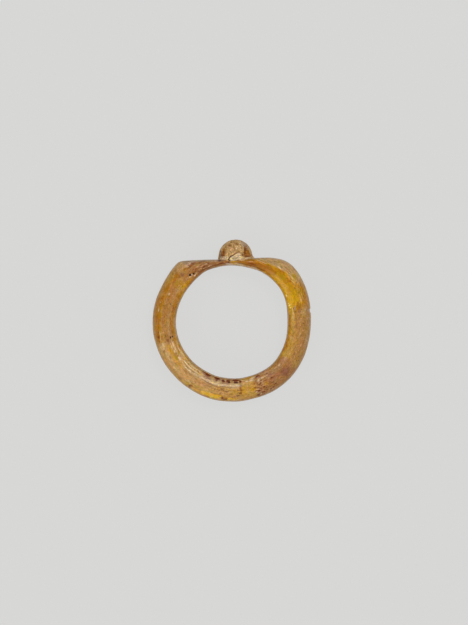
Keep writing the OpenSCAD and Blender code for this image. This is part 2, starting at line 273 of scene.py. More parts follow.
HOOP_MARKS = [
    # left shoulder
    *marks("dark", (132.4, 0.96, 0.19, 0.13, 1.0, 0.20), (129.1, 0.72, 0.18, 0.13, 0.8, 0.14)),
    *marks("cream", (129.2, 0.46, 0.16, 0.09, 1.0, 0.00), (133.6, 0.78, 0.14, 0.08, 0.8, 0.00),
        (130.9, 0.80, 0.10, 0.13, 0.8, 0.00), (126.7, 0.48, 0.14, 0.08, 0.6, 0.00),
        (129.2, 1.95, 0.14, 0.09, 0.5, 0.00), (109.0, 0.92, 0.40, 0.06, 0.5, 0.00),
        (114.5, 0.90, 0.26, 0.08, 0.5, 0.00), (136.6, 0.95, 0.22, 0.10, 0.4, 0.00),
        (156.3, 1.78, 0.18, 0.10, 0.7, 0.00), (164.9, 2.48, 0.11, 0.09, 0.5, 0.00),
        (171.0, 2.45, 0.26, 0.08, 0.6, 0.00)),
    *marks("amber", (132.3, 2.00, 0.26, 0.16, 1.0, 0.02), (130.1, 1.75, 0.24, 0.14, 0.9, 0.02),
        (148.5, 2.62, 0.80, 0.20, 0.5, 0.00), (143.0, 2.00, 0.80, 0.24, 0.8, 0.00)),
    *marks("olive", (122.0, 1.32, 0.22, 0.09, 0.6, 0.01), (138.8, 0.52, 0.30, 0.10, 0.7, 0.00),
        (145.0, 1.68, 0.34, 0.18, 0.7, 0.00)),
    *marks("umber", (125.5, 0.98, 0.16, 0.08, 0.8, 0.03), (117.5, 0.66, 0.28, 0.10, 1.0, 0.02),
        (113.0, 0.84, 0.14, 0.09, 0.9, 0.02), (141.3, 2.74, 0.20, 0.08, 0.6, 0.01),
        (145.5, 2.86, 0.20, 0.07, 0.5, 0.01), (166.5, 0.56, 0.18, 0.08, 0.7, 0.02),
        (170.0, 0.60, 0.35, 0.05, 0.5, 0.00), (168.8, 1.75, 0.14, 0.12, 0.6, 0.00),
        (155.0, 0.45, 0.16, 0.12, 0.5, 0.02)),
    *marks("violet", (137.2, 1.78, 0.30, 0.26, 0.9, 0.00)),
    *marks("yellow", (139.0, 0.52, 0.50, 0.15, 0.7, 0.00)),
    # left side
    *marks("dark", (194.2, 0.98, 0.15, 0.09, 1.0, 0.10), (193.6, 0.68, 0.14, 0.09, 1.0, 0.08)),
    *marks("umber", (197.5, 0.84, 0.16, 0.08, 0.9, 0.04), (195.8, 1.45, 0.22, 0.20, 0.7, 0.00),
        (191.8, 2.52, 0.20, 0.14, 1.0, 0.04), (210.0, 2.00, 0.22, 0.12, 0.6, 0.00)),
    *marks("cream", (189.5, 2.24, 0.35, 0.08, 0.6, 0.00), (193.6, 2.33, 0.30, 0.08, 0.6, 0.00),
        (198.8, 2.22, 0.24, 0.07, 0.8, 0.00), (199.2, 2.46, 0.26, 0.06, 0.7, 0.00),
        (199.6, 2.66, 0.24, 0.06, 0.6, 0.00), (201.6, 2.38, 0.10, 0.22, 0.7, 0.00)),
    *marks("pale", (199.5, 2.38, 0.45, 0.40, 1.0, 0.00)),
    *marks("yellow", (199.0, 2.34, 0.26, 0.07, 0.7, 0.00)),
    *marks("rose", (203.2, 2.46, 0.22, 0.20, 0.9, 0.00)),
    *marks("olive", (210.3, 0.82, 0.24, 0.13, 1.0, 0.02), (212.6, 1.42, 0.32, 0.16, 1.0, 0.02),
        (217.8, 1.95, 0.24, 0.16, 0.6, 0.00)),
    # painted highlights along the crest of the inner edge, lower left, and stains beside them
    *marks("cream", (207.0, 1.15, 0.24, 0.08, 0.8, 0.00), (214.5, 1.08, 0.30, 0.11, 1.0, 0.00),
        (228.5, 1.14, 0.18, 0.09, 1.0, 0.00)),
    *marks("painted_glint", (228.6, 1.14, 0.10, 0.06, 0.6, 0.00), (249.6, 1.00, 0.16, 0.05, 0.7, 0.00),
        (252.1, 0.99, 0.14, 0.06, 0.9, 0.00), (257.4, 1.14, 0.13, 0.08, 0.7, 0.00),
        (268.0, 0.95, 0.13, 0.08, 0.6, 0.00)),
    *marks("umber", (235.0, 0.56, 0.22, 0.09, 0.9, 0.03)),
    *marks("yellow", (237.2, 0.66, 0.50, 0.13, 0.9, 0.00)),
    *marks("rose", (256.0, 1.30, 0.60, 0.16, 0.5, 0.00), (244.5, 0.66, 0.50, 0.14, 0.9, 0.00)),
    # outer edge, lower left
    *marks("yellow", (230.0, 2.80, 0.18, 0.14, 1.0, 0.00), (233.2, 2.80, 0.30, 0.15, 0.8, 0.00),
        (271.0, 1.78, 0.55, 0.30, 0.6, 0.00)),
    *marks("umber", (236.0, 2.80, 0.20, 0.11, 0.9, 0.03), (262.2, 2.76, 0.13, 0.20, 0.9, 0.02),
        (264.2, 2.92, 0.30, 0.08, 0.8, 0.02), (265.3, 2.84, 0.10, 0.15, 0.9, 0.02),
        (261.0, 1.60, 0.30, 0.12, 0.6, 0.02), (265.0, 1.78, 0.30, 0.10, 0.7, 0.02)),
    *marks("maroon", (236.2, 2.98, 0.26, 0.08, 0.6, 0.02), (262.3, 2.72, 0.08, 0.10, 0.5, 0.02)),
    *marks("amber", (236.9, 2.66, 0.24, 0.12, 1.0, 0.00), (263.6, 2.80, 0.40, 0.26, 1.0, 0.00)),
    # purple spots along the inner edge, at the back of the finger
    *marks("violet", (242.4, 0.42, 0.55, 0.12, 1.0, 0.00), (245.2, 0.60, 0.44, 0.20, 0.7, 0.00),
        (254.6, 0.42, 0.30, 0.10, 0.8, 0.00), (254.5, 0.78, 0.24, 0.18, 0.7, 0.00),
        (260.8, 0.74, 0.28, 0.11, 0.8, 0.00), (264.8, 0.68, 0.30, 0.10, 0.8, 0.00)),
    *marks("maroon", (245.4, 0.26, 0.36, 0.14, 1.0, 0.04), (242.6, 0.20, 0.44, 0.08, 1.0, 0.03),
        (254.6, 0.24, 0.32, 0.14, 1.0, 0.05), (253.6, 0.34, 0.10, 0.07, 0.7, 0.03),
        (254.5, 0.58, 0.11, 0.08, 1.0, 0.03), (260.6, 0.36, 0.15, 0.16, 1.0, 0.06),
        (261.3, 0.48, 0.14, 0.09, 0.9, 0.04), (265.4, 0.34, 0.24, 0.14, 1.0, 0.06),
        (266.4, 0.16, 0.16, 0.06, 0.7, 0.04), (265.6, 0.42, 0.20, 0.12, 1.0, 0.04),
        (272.8, 0.22, 0.34, 0.14, 0.9, 0.05), (272.7, 0.52, 0.36, 0.11, 1.0, 0.06),
        (277.1, 0.46, 0.16, 0.14, 1.0, 0.05)),
    *marks("dark", (246.4, 0.20, 0.16, 0.05, 0.7, 0.05), (255.2, 0.20, 0.14, 0.05, 0.6, 0.05),
        (260.6, 0.32, 0.08, 0.07, 0.6, 0.05), (266.8, 0.50, 0.15, 0.11, 0.9, 0.06),
        (272.7, 0.52, 0.30, 0.06, 0.7, 0.05)),
    *marks("umber", (249.8, 0.20, 0.40, 0.10, 0.6, 0.02), (272.6, 0.36, 0.36, 0.12, 0.8, 0.04),
        (276.6, 0.26, 0.12, 0.14, 0.9, 0.05)),
    *marks("rose", (259.4, 0.26, 0.30, 0.12, 0.9, 0.00), (270.0, 0.28, 0.30, 0.16, 0.9, 0.00)),
    # the seam where the hoop's two ends meet, and the clear glass beside it
    *marks("umber", (276.7, 1.45, 0.09, 0.45, 0.65, 0.02), (276.2, 2.02, 0.22, 0.11, 0.85, 0.03),
        (274.2, 2.38, 0.20, 0.09, 0.9, 0.04)),
    *marks("amber", (276.9, 1.50, 0.20, 0.75, 0.90, 0.00), (289.0, 1.12, 0.36, 0.14, 0.6, 0.00)),
    *marks("yellow", (279.4, 1.85, 0.32, 0.30, 0.9, 0.02), (285.8, 1.86, 0.36, 0.22, 1.0, 0.02)),
    *marks("olive", (278.0, 2.35, 0.16, 0.20, 0.6, 0.00), (285.6, 1.86, 0.24, 0.14, 0.6, 0.00),
        (279.2, 1.85, 0.20, 0.20, 0.5, 0.00), (286.7, 2.30, 0.18, 0.10, 0.8, 0.02),
        (284.5, 0.22, 0.70, 0.10, 0.7, 0.00)),
    *marks("cream", (287.2, 0.60, 0.24, 0.09, 1.0, 0.00), (283.0, 0.58, 0.20, 0.09, 0.8, 0.00),
        (288.6, 0.36, 0.34, 0.07, 0.8, 0.00)),
    # red speckled cluster and the rosy glass, lower right
    *marks("maroon", (294.4, 0.28, 0.20, 0.09, 0.8, 0.03), (290.9, 2.24, 0.18, 0.07, 0.9, 0.05),
        (289.2, 2.10, 0.12, 0.06, 0.8, 0.04), (289.8, 2.70, 0.12, 0.10, 0.8, 0.04),
        (293.7, 2.57, 0.17, 0.06, 0.8, 0.04), (295.8, 1.98, 0.15, 0.06, 0.8, 0.05),
        (294.5, 1.36, 0.11, 0.09, 0.7, 0.04), (304.8, 1.40, 0.13, 0.09, 0.8, 0.04),
        (304.8, 2.38, 0.12, 0.07, 0.9, 0.05), (290.3, 2.92, 0.20, 0.06, 0.7, 0.02),
        (292.8, 2.06, 0.13, 0.08, 0.7, 0.03), (299.9, 2.64, 0.16, 0.09, 0.7, 0.03)),
    *marks("violet", (294.4, 0.34, 0.34, 0.16, 0.8, 0.00), (305.3, 0.92, 0.50, 0.17, 0.7, 0.00),
        (316.9, 1.95, 0.62, 0.52, 0.9, 0.00), (316.2, 0.96, 0.18, 0.10, 0.9, 0.02)),
    *marks("umber", (288.2, 2.76, 0.22, 0.07, 0.8, 0.03), (289.2, 1.62, 0.22, 0.07, 0.8, 0.03),
        (291.0, 1.82, 0.24, 0.07, 0.9, 0.03), (292.6, 1.48, 0.24, 0.06, 0.9, 0.03),
        (294.9, 1.68, 0.22, 0.07, 0.9, 0.03), (295.6, 1.06, 0.20, 0.08, 0.9, 0.03),
        (297.8, 2.20, 0.20, 0.07, 0.9, 0.03), (298.4, 1.28, 0.28, 0.07, 0.8, 0.03),
        (300.4, 2.32, 0.20, 0.07, 0.8, 0.03), (302.8, 0.54, 0.28, 0.08, 0.8, 0.03),
        (293.0, 2.84, 0.20, 0.07, 0.8, 0.03), (292.2, 0.38, 0.20, 0.06, 0.8, 0.03),
        (290.8, 2.22, 0.24, 0.08, 1.0, 0.05), (290.9, 2.56, 0.14, 0.10, 0.9, 0.05),
        (289.3, 2.68, 0.14, 0.14, 0.9, 0.05), (293.7, 2.58, 0.24, 0.09, 0.9, 0.04),
        (289.0, 2.14, 0.18, 0.07, 0.8, 0.04), (295.8, 2.00, 0.20, 0.08, 1.0, 0.06),
        (294.5, 1.36, 0.15, 0.11, 0.9, 0.04), (297.1, 2.52, 0.16, 0.10, 0.9, 0.04),
        (302.2, 2.60, 0.18, 0.10, 0.8, 0.03), (304.8, 2.40, 0.18, 0.08, 0.9, 0.05),
        (304.8, 1.40, 0.14, 0.09, 0.9, 0.03)),
    *marks("rose", (291.5, 2.32, 0.50, 0.22, 1.0, 0.00), (294.0, 1.25, 0.40, 0.30, 1.0, 0.00)),
    *marks("cream", (289.4, 2.28, 0.22, 0.07, 0.8, 0.00), (291.4, 2.66, 0.16, 0.08, 0.8, 0.00),
        (293.8, 2.34, 0.14, 0.08, 0.5, 0.00), (290.3, 1.96, 0.22, 0.06, 0.7, 0.00),
        (296.4, 1.16, 0.26, 0.07, 0.6, 0.00), (290.2, 0.26, 0.34, 0.07, 0.8, 0.00),
        (293.6, 0.86, 0.15, 0.18, 0.7, 0.00), (300.3, 2.72, 0.12, 0.08, 0.5, 0.00),
        (317.2, 0.76, 0.20, 0.10, 0.7, 0.00), (313.2, 0.66, 0.20, 0.07, 0.6, 0.00),
        (317.8, 2.60, 0.12, 0.06, 0.5, 0.00)),
    *marks("yellow", (298.2, 1.72, 0.36, 0.20, 0.7, 0.00)),
    *marks("pale", (299.2, 0.76, 0.45, 0.10, 0.9, 0.00)),
    *marks("ash", (305.3, 0.92, 0.45, 0.15, 0.5, 0.00)),
    # right side
    *marks("pale", (325.2, 0.85, 0.26, 0.14, 0.8, 0.00), (8.5, 2.20, 0.60, 0.45, 0.5, 0.00)),
    *marks("amber", (326.4, 1.42, 0.28, 0.12, 0.8, 0.00), (13.0, 1.60, 0.70, 0.26, 0.5, 0.00)),
    *marks("umber", (332.7, 1.75, 0.20, 0.14, 0.5, 0.00), (337.8, 1.54, 0.12, 0.07, 0.7, 0.03),
        (340.4, 1.68, 0.14, 0.06, 0.6, 0.03), (348.6, 1.90, 0.14, 0.08, 0.9, 0.04),
        (12.4, 1.62, 0.75, 0.26, 0.5, 0.00), (12.6, 0.86, 0.20, 0.06, 0.8, 0.02)),
    *marks("cream", (340.6, 2.12, 0.14, 0.07, 0.6, 0.00), (349.6, 1.76, 0.20, 0.07, 0.6, 0.00),
        (10.0, 2.40, 0.26, 0.07, 0.6, 0.00)),
    *marks("rose", (356.5, 1.18, 0.40, 0.18, 0.9, 0.00), (4.0, 1.50, 0.45, 0.12, 0.8, 0.00),
        (12.0, 1.00, 0.55, 0.16, 1.0, 0.00)),
    *marks("ash", (9.0, 2.95, 0.20, 0.12, 0.8, 0.02)),
    *marks("chalk_and_light", (12.2, 1.08, 0.34, 0.09, 0.6, 0.00)),
    *marks("olive", (7.4, 0.50, 0.40, 0.14, 1.0, 0.00), (10.4, 0.50, 0.36, 0.13, 1.0, 0.00)),
    # painted glints and the yellow light round them, with olive between, on the ribbed inner edge, right side
    *marks("yellow", (15.0, 0.42, 0.60, 0.20, 1.0, 0.00)),
    *marks("painted_glint", (14.0, 0.42, 0.12, 0.09, 0.9, 0.00), (16.3, 0.36, 0.12, 0.13, 1.0, 0.00),
        (18.4, 0.27, 0.11, 0.07, 0.7, 0.00), (26.0, 0.32, 0.20, 0.06, 0.9, 0.00),
        (28.2, 0.58, 0.13, 0.07, 0.4, 0.00)),
    *marks("olive", (15.2, 0.44, 0.06, 0.16, 0.9, 0.03), (12.8, 0.46, 0.12, 0.12, 0.9, 0.03),
        (17.3, 0.48, 0.06, 0.14, 0.7, 0.03)),
    # right shoulder
    *marks("umber", (19.8, 2.53, 0.14, 0.08, 0.8, 0.03), (24.0, 2.58, 0.30, 0.06, 0.6, 0.02),
        (57.6, 1.75, 0.20, 0.07, 0.5, 0.00), (72.4, 1.06, 0.60, 0.05, 0.7, 0.02)),
    # the cream along the fold, at 49.6 and 65.0 degrees, is painted highlight
    *marks("cream", (23.3, 2.90, 0.26, 0.06, 0.4, 0.00), (49.6, 1.84, 0.26, 0.08, 0.8, 0.00),
        (65.0, 1.26, 0.60, 0.06, 0.7, 0.00)),
    *marks("yellow", (36.3, 2.50, 0.42, 0.28, 1.0, 0.00)),
    *marks("olive", (36.6, 2.52, 0.30, 0.22, 0.8, 0.00), (41.6, 1.30, 0.50, 0.22, 0.7, 0.00),
        (52.4, 2.50, 0.32, 0.14, 0.6, 0.00)),
    *marks("amber", (44.6, 1.70, 0.32, 0.15, 0.8, 0.00)),
    *marks("ash", (52.2, 1.88, 0.60, 0.26, 0.5, 0.00), (72.0, 1.32, 0.50, 0.17, 1.0, 0.00)),
    *marks("rose", (56.5, 2.10, 0.28, 0.12, 0.9, 0.00)),
    # the thin glass beside the drop
    *marks("dark", (98.2, 0.36, 0.20, 0.05, 0.5, 0.03), (102.4, 0.80, 0.13, 0.07, 0.8, 0.03),
        (94.0, 0.50, 0.13, 0.09, 0.8, 0.08), (115.8, 1.30, 0.50, 0.05, 0.5, 0.02)),
    *marks("maroon", (102.4, 0.80, 0.20, 0.12, 1.0, 0.02), (108.6, 0.50, 0.60, 0.05, 0.5, 0.02),
        (112.6, 0.88, 0.11, 0.08, 0.5, 0.02), (117.8, 0.70, 0.22, 0.06, 0.6, 0.02)),
    *marks("umber", (95.6, 0.44, 0.24, 0.06, 0.8, 0.03), (71.5, 0.56, 0.55, 0.09, 0.9, 0.01),
        (82.5, 0.62, 0.40, 0.05, 0.6, 0.01), (105.5, 0.34, 0.50, 0.06, 0.9, 0.03),
        (121.0, 0.42, 0.30, 0.06, 0.8, 0.02), (119.5, 1.02, 0.22, 0.06, 0.8, 0.02),
        (122.8, 0.80, 0.22, 0.05, 0.7, 0.02), (128.0, 2.06, 0.14, 0.07, 0.8, 0.02),
        (88.5, 0.42, 0.50, 0.06, 0.8, 0.00)),
    # painted glow in the thin glass
    *marks("lit_gold", (97.4, 0.56, 0.26, 0.06, 0.7, 0.00), (93.0, 0.32, 0.40, 0.08, 0.6, 0.00)),
    *marks("cream", (85.5, 0.30, 0.45, 0.07, 0.8, 0.00), (73.5, 0.86, 0.45, 0.06, 0.5, 0.00),
        (107.0, 1.00, 0.40, 0.05, 0.5, 0.00), (119.0, 0.88, 0.24, 0.04, 0.4, 0.00),
        (122.4, 1.12, 0.24, 0.06, 0.6, 0.00)),
    *marks("rose", (77.0, 0.80, 0.55, 0.10, 0.9, 0.00)),
    *marks("violet", (123.0, 1.78, 0.60, 0.08, 0.8, 0.00)),
    *marks("chalk_and_light", (126.8, 2.10, 0.26, 0.10, 0.7, 0.00)),
    *marks("olive", (84.6, 0.66, 0.34, 0.07, 1.0, 0.00)),
]

# Marks on the two sides of the drop, with X and Y from the middle of its foot in place of the angle and
# the distance
KNOB_MARKS = [
    *marks("clear", (-1.66, 0.66, 0.26, 0.34, 1.0, 0.05), (-1.54, 1.08, 0.12, 0.26, 0.9, 0.02),
        (1.40, 1.44, 0.18, 0.34, 1.0, 0.03), (1.52, 0.98, 0.30, 0.44, 1.0, 0.06),
        (1.72, 0.50, 0.44, 0.28, 1.0, 0.05)),
    *marks("umber", (-1.64, 0.42, 0.26, 0.09, 0.9, 0.04), (-1.54, 0.84, 0.15, 0.26, 0.9, 0.05),
        (-1.86, 0.62, 0.07, 0.22, 0.7, 0.03), (1.40, 1.20, 0.17, 0.24, 1.0, 0.05),
        (1.34, 0.78, 0.14, 0.26, 0.9, 0.05), (1.62, 0.32, 0.40, 0.12, 0.9, 0.04),
        (1.44, 1.62, 0.18, 0.10, 0.6, 0.02), (1.06, 0.50, 0.24, 0.12, 0.6, 0.02),
        (-1.98, 0.98, 0.08, 0.12, 0.8, 0.02), (0.20, 2.02, 0.30, 0.07, 0.6, 0.03),
        (-0.85, 1.78, 0.26, 0.11, 0.7, 0.03), (-0.30, 1.55, 0.26, 0.06, 0.5, 0.02)),
    *marks("olive", (1.42, 1.16, 0.18, 0.24, 0.5, 0.03)),
    *marks("ash", (1.15, 1.95, 0.34, 0.36, 1.0, 0.00), (1.62, 1.60, 0.20, 0.34, 0.9, 0.00),
        (-1.98, 0.70, 0.12, 0.50, 0.9, 0.00), (-1.90, 0.18, 0.14, 0.22, 0.9, 0.00)),
    *marks("pale", (-0.70, 1.05, 0.50, 0.34, 0.5, 0.00), (0.98, 1.20, 0.09, 0.22, 0.9, 0.00)),
    *marks("chalk_and_light", (-1.25, 0.12, 0.34, 0.20, 0.8, 0.00), (-1.75, 0.02, 0.26, 0.12, 0.8, 0.00),
        (1.95, 0.02, 0.50, 0.12, 0.9, 0.00), (0.22, 1.38, 0.07, 0.09, 0.9, 0.00)),
    *marks("dark", (0.86, 2.30, 0.09, 0.06, 0.5, 0.02)),
    *marks("grime_and_shade", (1.02, 0.52, 0.16, 0.24, 0.6, 0.00)),
]
# Outline of the flake that is chipped from the drop's foot on the near side, from the same middle. Its
# first corners follow the crack
CHIP = [(-0.90, -0.15), (-0.63, 0.28), (-0.20, 0.48), (0.18, 0.75), (0.49, 0.83), (0.70, 0.66), (0.74, 0.34),
        (1.12, 0.21), (1.19, -0.04), (0.94, -0.17), (0.45, -0.17), (0.10, -0.42), (-0.60, -0.40)]
CHIP_DEPTH = 0.08
CRACK_WIDTH = 0.12
CRACK_DEPTH = 0.12
# Marks on the chipped face, placed in the same way. Its glints are painted highlights
CHIP_MARKS = [
    *marks("painted_glint", (-0.62, 0.00, 0.16, 0.09, 0.9, 0.00), (0.86, 0.16, 0.12, 0.09, 0.8, 0.00),
        (0.12, 0.52, 0.09, 0.12, 0.6, 0.00)),
    *marks("grime_and_shade", (-0.30, 0.02, 0.10, 0.10, 0.6, 0.02), (0.24, 0.06, 0.14, 0.07, 0.7, 0.02)),
    *marks("dark", (0.92, -0.06, 0.08, 0.06, 0.6, 0.03)),
    *marks("olive", (0.36, 0.58, 0.10, 0.08, 0.4, 0.00), (0.62, -0.26, 0.28, 0.06, 0.9, 0.00)),
]

# The layers that are painted into each mesh. wall is 1 on the bore and the outer side, and 0 on the two faces
KINDS = ("clear", "amber", "yellow", "lit_gold", "rose", "pale", "chalk_and_light", "cream", "ash", "violet", "olive",
         "umber", "maroon", "specked", "lined", "grime_and_shade", "painted_glint", "dark", "wall")
# The colour of a mark, and its depth, are full up to the first share of its size and gone at the second
COLOUR_FADE = (0.75, 1.55)
DEPTH_FADE = (0.3, 1.3)
# How ragged the edges of marks are, as a share of their size, on the hoop and on the drop, and the size
# of the tears
HOOP_RAGGED = 0.55
KNOB_RAGGED = 0.45
TEAR_SIZE = 0.20

# Nearer the finger hole than this, the surface is the inner edge or the bore
INNER_SIDE = 0.6
# Share of the half width, along the finger, between which the bore and the outer side change into a face
BORE_TO_FACE = (0.54, 0.72)
OUTER_TO_FACE = (0.18, 0.55)
# How far that change wanders, as a share of the half width
FACE_WANDER = 0.45
# The ends of a band, in degrees: how far they wander, how long they fade, with some more for each degree
# of its length, and how much longer on the walls and on the far face
END_WANDER = 2.5
END_FADE = 0.9
END_FADE_PER_DEGREE = 0.045
END_FADE_LIMITS = (1.0, 3.0)
WALL_END_FADE = 8.0
FAR_END_FADE = 4.0
# The sides of a band: the share of its width over which they fade, the least and most of that in
# millimetres, and how far they wander for each millimetre of fade
SIDE_FADE = 0.35
SIDE_FADE_LIMITS = (0.04, 0.34)
SIDE_WANDER = 0.7
# How far a band slants as it goes down the walls, and how far before its start it still counts, in degrees
WALL_SLANT = 30
LEAD = 40
# Chalk, and the painted light in its layer, is broken up by lumps of this size, between these two strengths
CHALK_AND_LIGHT_LUMP = 0.32
CHALK_AND_LIGHT_LIMITS = (0.25, 1.2)
# Size of the wall patches round the hoop and along the finger
PATCH_SIZE = (3.4, 3.4, 1.3)
# Grime of the walls, which also paints shade that darkens the outlines seen from above, grey bloom of the
# walls, and the bloom of the table
OUTER_GRIME_AND_SHADE = 0.16
BORE_GRIME_AND_SHADE = 0.24
WALL_BLOOM = 0.14
TABLE_BLOOM = 0.75

# Faces of one section of the hoop: across the bore, over each inner edge and over the outer side
BORE_STEPS = 22
EDGE_STEPS = 20
OUTER_STEPS = 92
# Size of the hoop's swells and ripples, and the ripples' height as a share of the swells'
SWELL_SIZE = 3.2
RIPPLE_SIZE = 0.7
RIPPLE_SHARE = 0.25
# Stretch of the fine ridges round the hoop, and the distance between them
RIDGE_LENGTH = 9.0
RIDGE_SPACING = 0.32
# Heights and half widths of the crest at the lower left with the groove inside it, and of the fold over
# the right shoulder with the trough inside it
CREST = (0.05, 0.12)
GROOVE = (-0.03, 0.07)
FOLD = (0.07, 0.16)
TROUGH = (-0.05, 0.28)
# The nick in the outer edge on the right: its place, its reach round the hoop and along the finger, its depth
NICK_Y = 1.55
NICK_LONG = 0.34
NICK_WIDE = 1.6
NICK_DEPTH = 0.12

# The drop: how deep its foot goes into the table, the rim of its foot, how high the flare of the foot
# reaches, and how far it leans to the right for each millimetre of height
KNOB_SUNK = 0.36
FOOT_RIM = 0.10
FLARE_HEIGHT = 0.30
KNOB_LEAN = 0.05
# How far the foot stays inside the hoop's width, and the share of the way up at which the rings stop and
# a cap closes the top
FOOT_MARGIN = 0.05
TOP_RING = 0.995
# Height and size of the drop's swells and ripples
KNOB_SWELL = (0.05, 1.6)
KNOB_RIPPLE = (0.012, 0.35)
# How thick with specks the drop is, and its chipped face
KNOB_SPECKS = 0.5
CHIP_SPECKS = 0.4


def tone(red, green, blue):
    """A colour given in the 0 to 255 of a picture, as the linear light that shaders take."""
    def linear(value):
        share = value / 255
        return share / 12.92 if share <= 0.04045 else ((share + 0.055) / 1.055) ** 2.4
    return (linear(red), linear(green), linear(blue))


def opaque(colour):
    return (*colour, 1.0)


def colour_property(name, description, picture_colour):
    return bpy.props.FloatVectorProperty(
        name=name, description=description, subtype="COLOR", size=3, min=0.0, max=1.0,
        default=tone(*picture_colour),
    )


class RingHoopSettings(bpy.types.PropertyGroup):
    """Sizes and colours of the hoop."""

    stations: bpy.props.IntProperty(
        name="Stations", description="Sections round the hoop", default=560, min=96, max=800)
    unevenness: bpy.props.FloatProperty(
        name="Unevenness", description="How far the hand-worked surface strays from its true shape",
        default=0.045 * MM, min=0.0, max=0.2 * MM, unit="LENGTH", precision=6)
    ridge_height: bpy.props.FloatProperty(
        name="Ridge height", description="Height of the fine ridges that the tool left along the hoop",
        default=0.012 * MM, min=0.0, max=0.05 * MM, unit="LENGTH", precision=6)
    deep_glass: colour_property("Deep glass", "Dark amber of the thickest glass", (186, 132, 4))
    glass: colour_property("Clear glass", "Honey yellow where the film is gone", (206, 155, 6))
    amber: colour_property("Amber", "Golden brown under a thin film", (194, 144, 46))
    film: colour_property("Film", "Dull tan film over the glass", (184, 138, 74))
    pale_film: colour_property("Pale film", "Palest film", (214, 176, 124))


class RingKnobSettings(bpy.types.PropertyGroup):
    """Sizes and colours of the drop of glass."""

    rings: bpy.props.IntProperty(
        name="Rings", description="Rings of faces from the foot to the top", default=190, min=40, max=240)
    foot_flare: bpy.props.FloatProperty(
        name="Foot flare", description="How far the foot spreads on the table on its right side",
        default=0.42 * MM, min=0.0, max=1.0 * MM, unit="LENGTH", precision=6)
    film: colour_property("Film", "Beige-brown film over the drop", (206, 166, 108))
    glass: colour_property("Clear glass", "Dark amber where the film is gone", (172, 108, 0))


class RingStageSettings(bpy.types.PropertyGroup):
    """The floor, the light and the camera."""

    floor_colour: colour_property("Floor", "Pale grey floor", (215, 215, 214))
    lens: bpy.props.FloatProperty(
        name="Lens", description="Focal length of the camera", default=120.0, min=50.0, max=200.0,
        unit="CAMERA")


def around(angles, column):
    """A column of OUTLINE at any angle, on a smooth closed curve through its rows."""
    values = np.array([getattr(row, column) for row in OUTLINE])
    place = np.asarray(angles, float) / 360 * len(values)
    row = np.floor(place).astype(int)
    t = place - row
    before, here, after, beyond = (values[(row + k) % len(values)] for k in (-1, 0, 1, 2))
    return here + t / 2 * (
        after - before
        + t * (2 * before - 5 * here + 4 * after - beyond + t * (3 * (here - after) + beyond - before))
    )


def smooth_step(low, high, value):
    """0 at low and before it, 1 at high and beyond it, and a soft rise between them."""
    t = np.clip((value - low) / (high - low), 0, 1)
    return t * t * (3 - 2 * t)


def soft_min(a, b, softness):
    """The lower of two heights, with a soft corner where they meet."""
    return np.minimum(a, b) - np.maximum(softness - np.abs(a - b), 0) ** 2 / (4 * softness)


def lumps(points, size, octaves=3, seed=0.0):
    """Soft noise, about -1 to 1, at points in millimetres. size is the lumps' size."""
    places = points / size + seed
    return np.array([noise.fractal(Vector(place), 1.0, 2.0, octaves) for place in places])


def table_height(x):
    return TABLE_Y + TABLE_SLOPE * x


def press_table(points):
    """Lowers what stands above the table to it, as the hot glass was pressed."""
    x, y, z = points[..., 0], points[..., 1], points[..., 2]
    edge = TABLE_EDGE_DROP * (np.abs(z) / HALF_WIDTH) ** TABLE_EDGE_POWER
    to_right = smooth_step(SOFTNESS_FROM_X, SOFTNESS_TO_X, x)
    softness = LEFT_SOFTNESS + (RIGHT_SOFTNESS - LEFT_SOFTNESS) * to_right
    pressed = points.copy()
    pressed[..., 1] = soft_min(y, table_height(x) - edge, softness)
    return pressed


def grid_faces(rows, columns, closed_rows=True):
    """Corner numbers of the quads of a grid whose columns close on themselves."""
    row = np.arange(rows if closed_rows else rows - 1)[:, None]
    column = np.arange(columns)[None, :]
    next_row = (row + 1) % rows
    next_column = (column + 1) % columns
    corners = np.stack([
        row * columns + column,
        next_row * columns + column,
        next_row * columns + next_column,
        row * columns + next_column,
    ], axis=-1)
    return corners.reshape(-1, 4)


def surface_normals(grid, middle, closed_rows=True):
    """Normals of a grid of points that look away from its middle, one row for each point."""
    along = np.roll(grid, -1, axis=0) - np.roll(grid, 1, axis=0)
    if not closed_rows:
        along[0] = grid[1] - grid[0]
        along[-1] = grid[-1] - grid[-2]
    across = np.roll(grid, -1, axis=1) - np.roll(grid, 1, axis=1)
    normals = np.cross(along, across)
    normals /= np.maximum(np.linalg.norm(normals, axis=-1, keepdims=True), 1e-9)
    if np.sum(normals * (grid - middle)) < 0:
        normals = -normals
    return normals.reshape(-1, 3)


def orient_outward(mesh):
    """Turns the faces of a closed mesh so that they look out of it."""
    working = bmesh.new()
    working.from_mesh(mesh)
    bmesh.ops.recalc_face_normals(working, faces=working.faces)
    working.to_mesh(mesh)
    working.free()


def new_piece(name, points, faces, layers, material):
    """A smooth mesh object from points in millimetres, with its painted layers."""
    mesh = bpy.data.meshes.new(name)
    mesh.from_pydata((points * MM).tolist(), [], [list(map(int, face)) for face in faces])
    for kind in KINDS:
        layer = mesh.attributes.new(kind, "FLOAT", "POINT")
        layer.data.foreach_set("value", layers[kind].astype(np.float32))
    mesh.polygons.foreach_set("use_smooth", [True] * len(mesh.polygons))
    mesh.materials.append(material)
    mesh.update()
    orient_outward(mesh)
    piece = bpy.data.objects.new(name, mesh)
    bpy.context.scene.collection.objects.link(piece)
    return piece


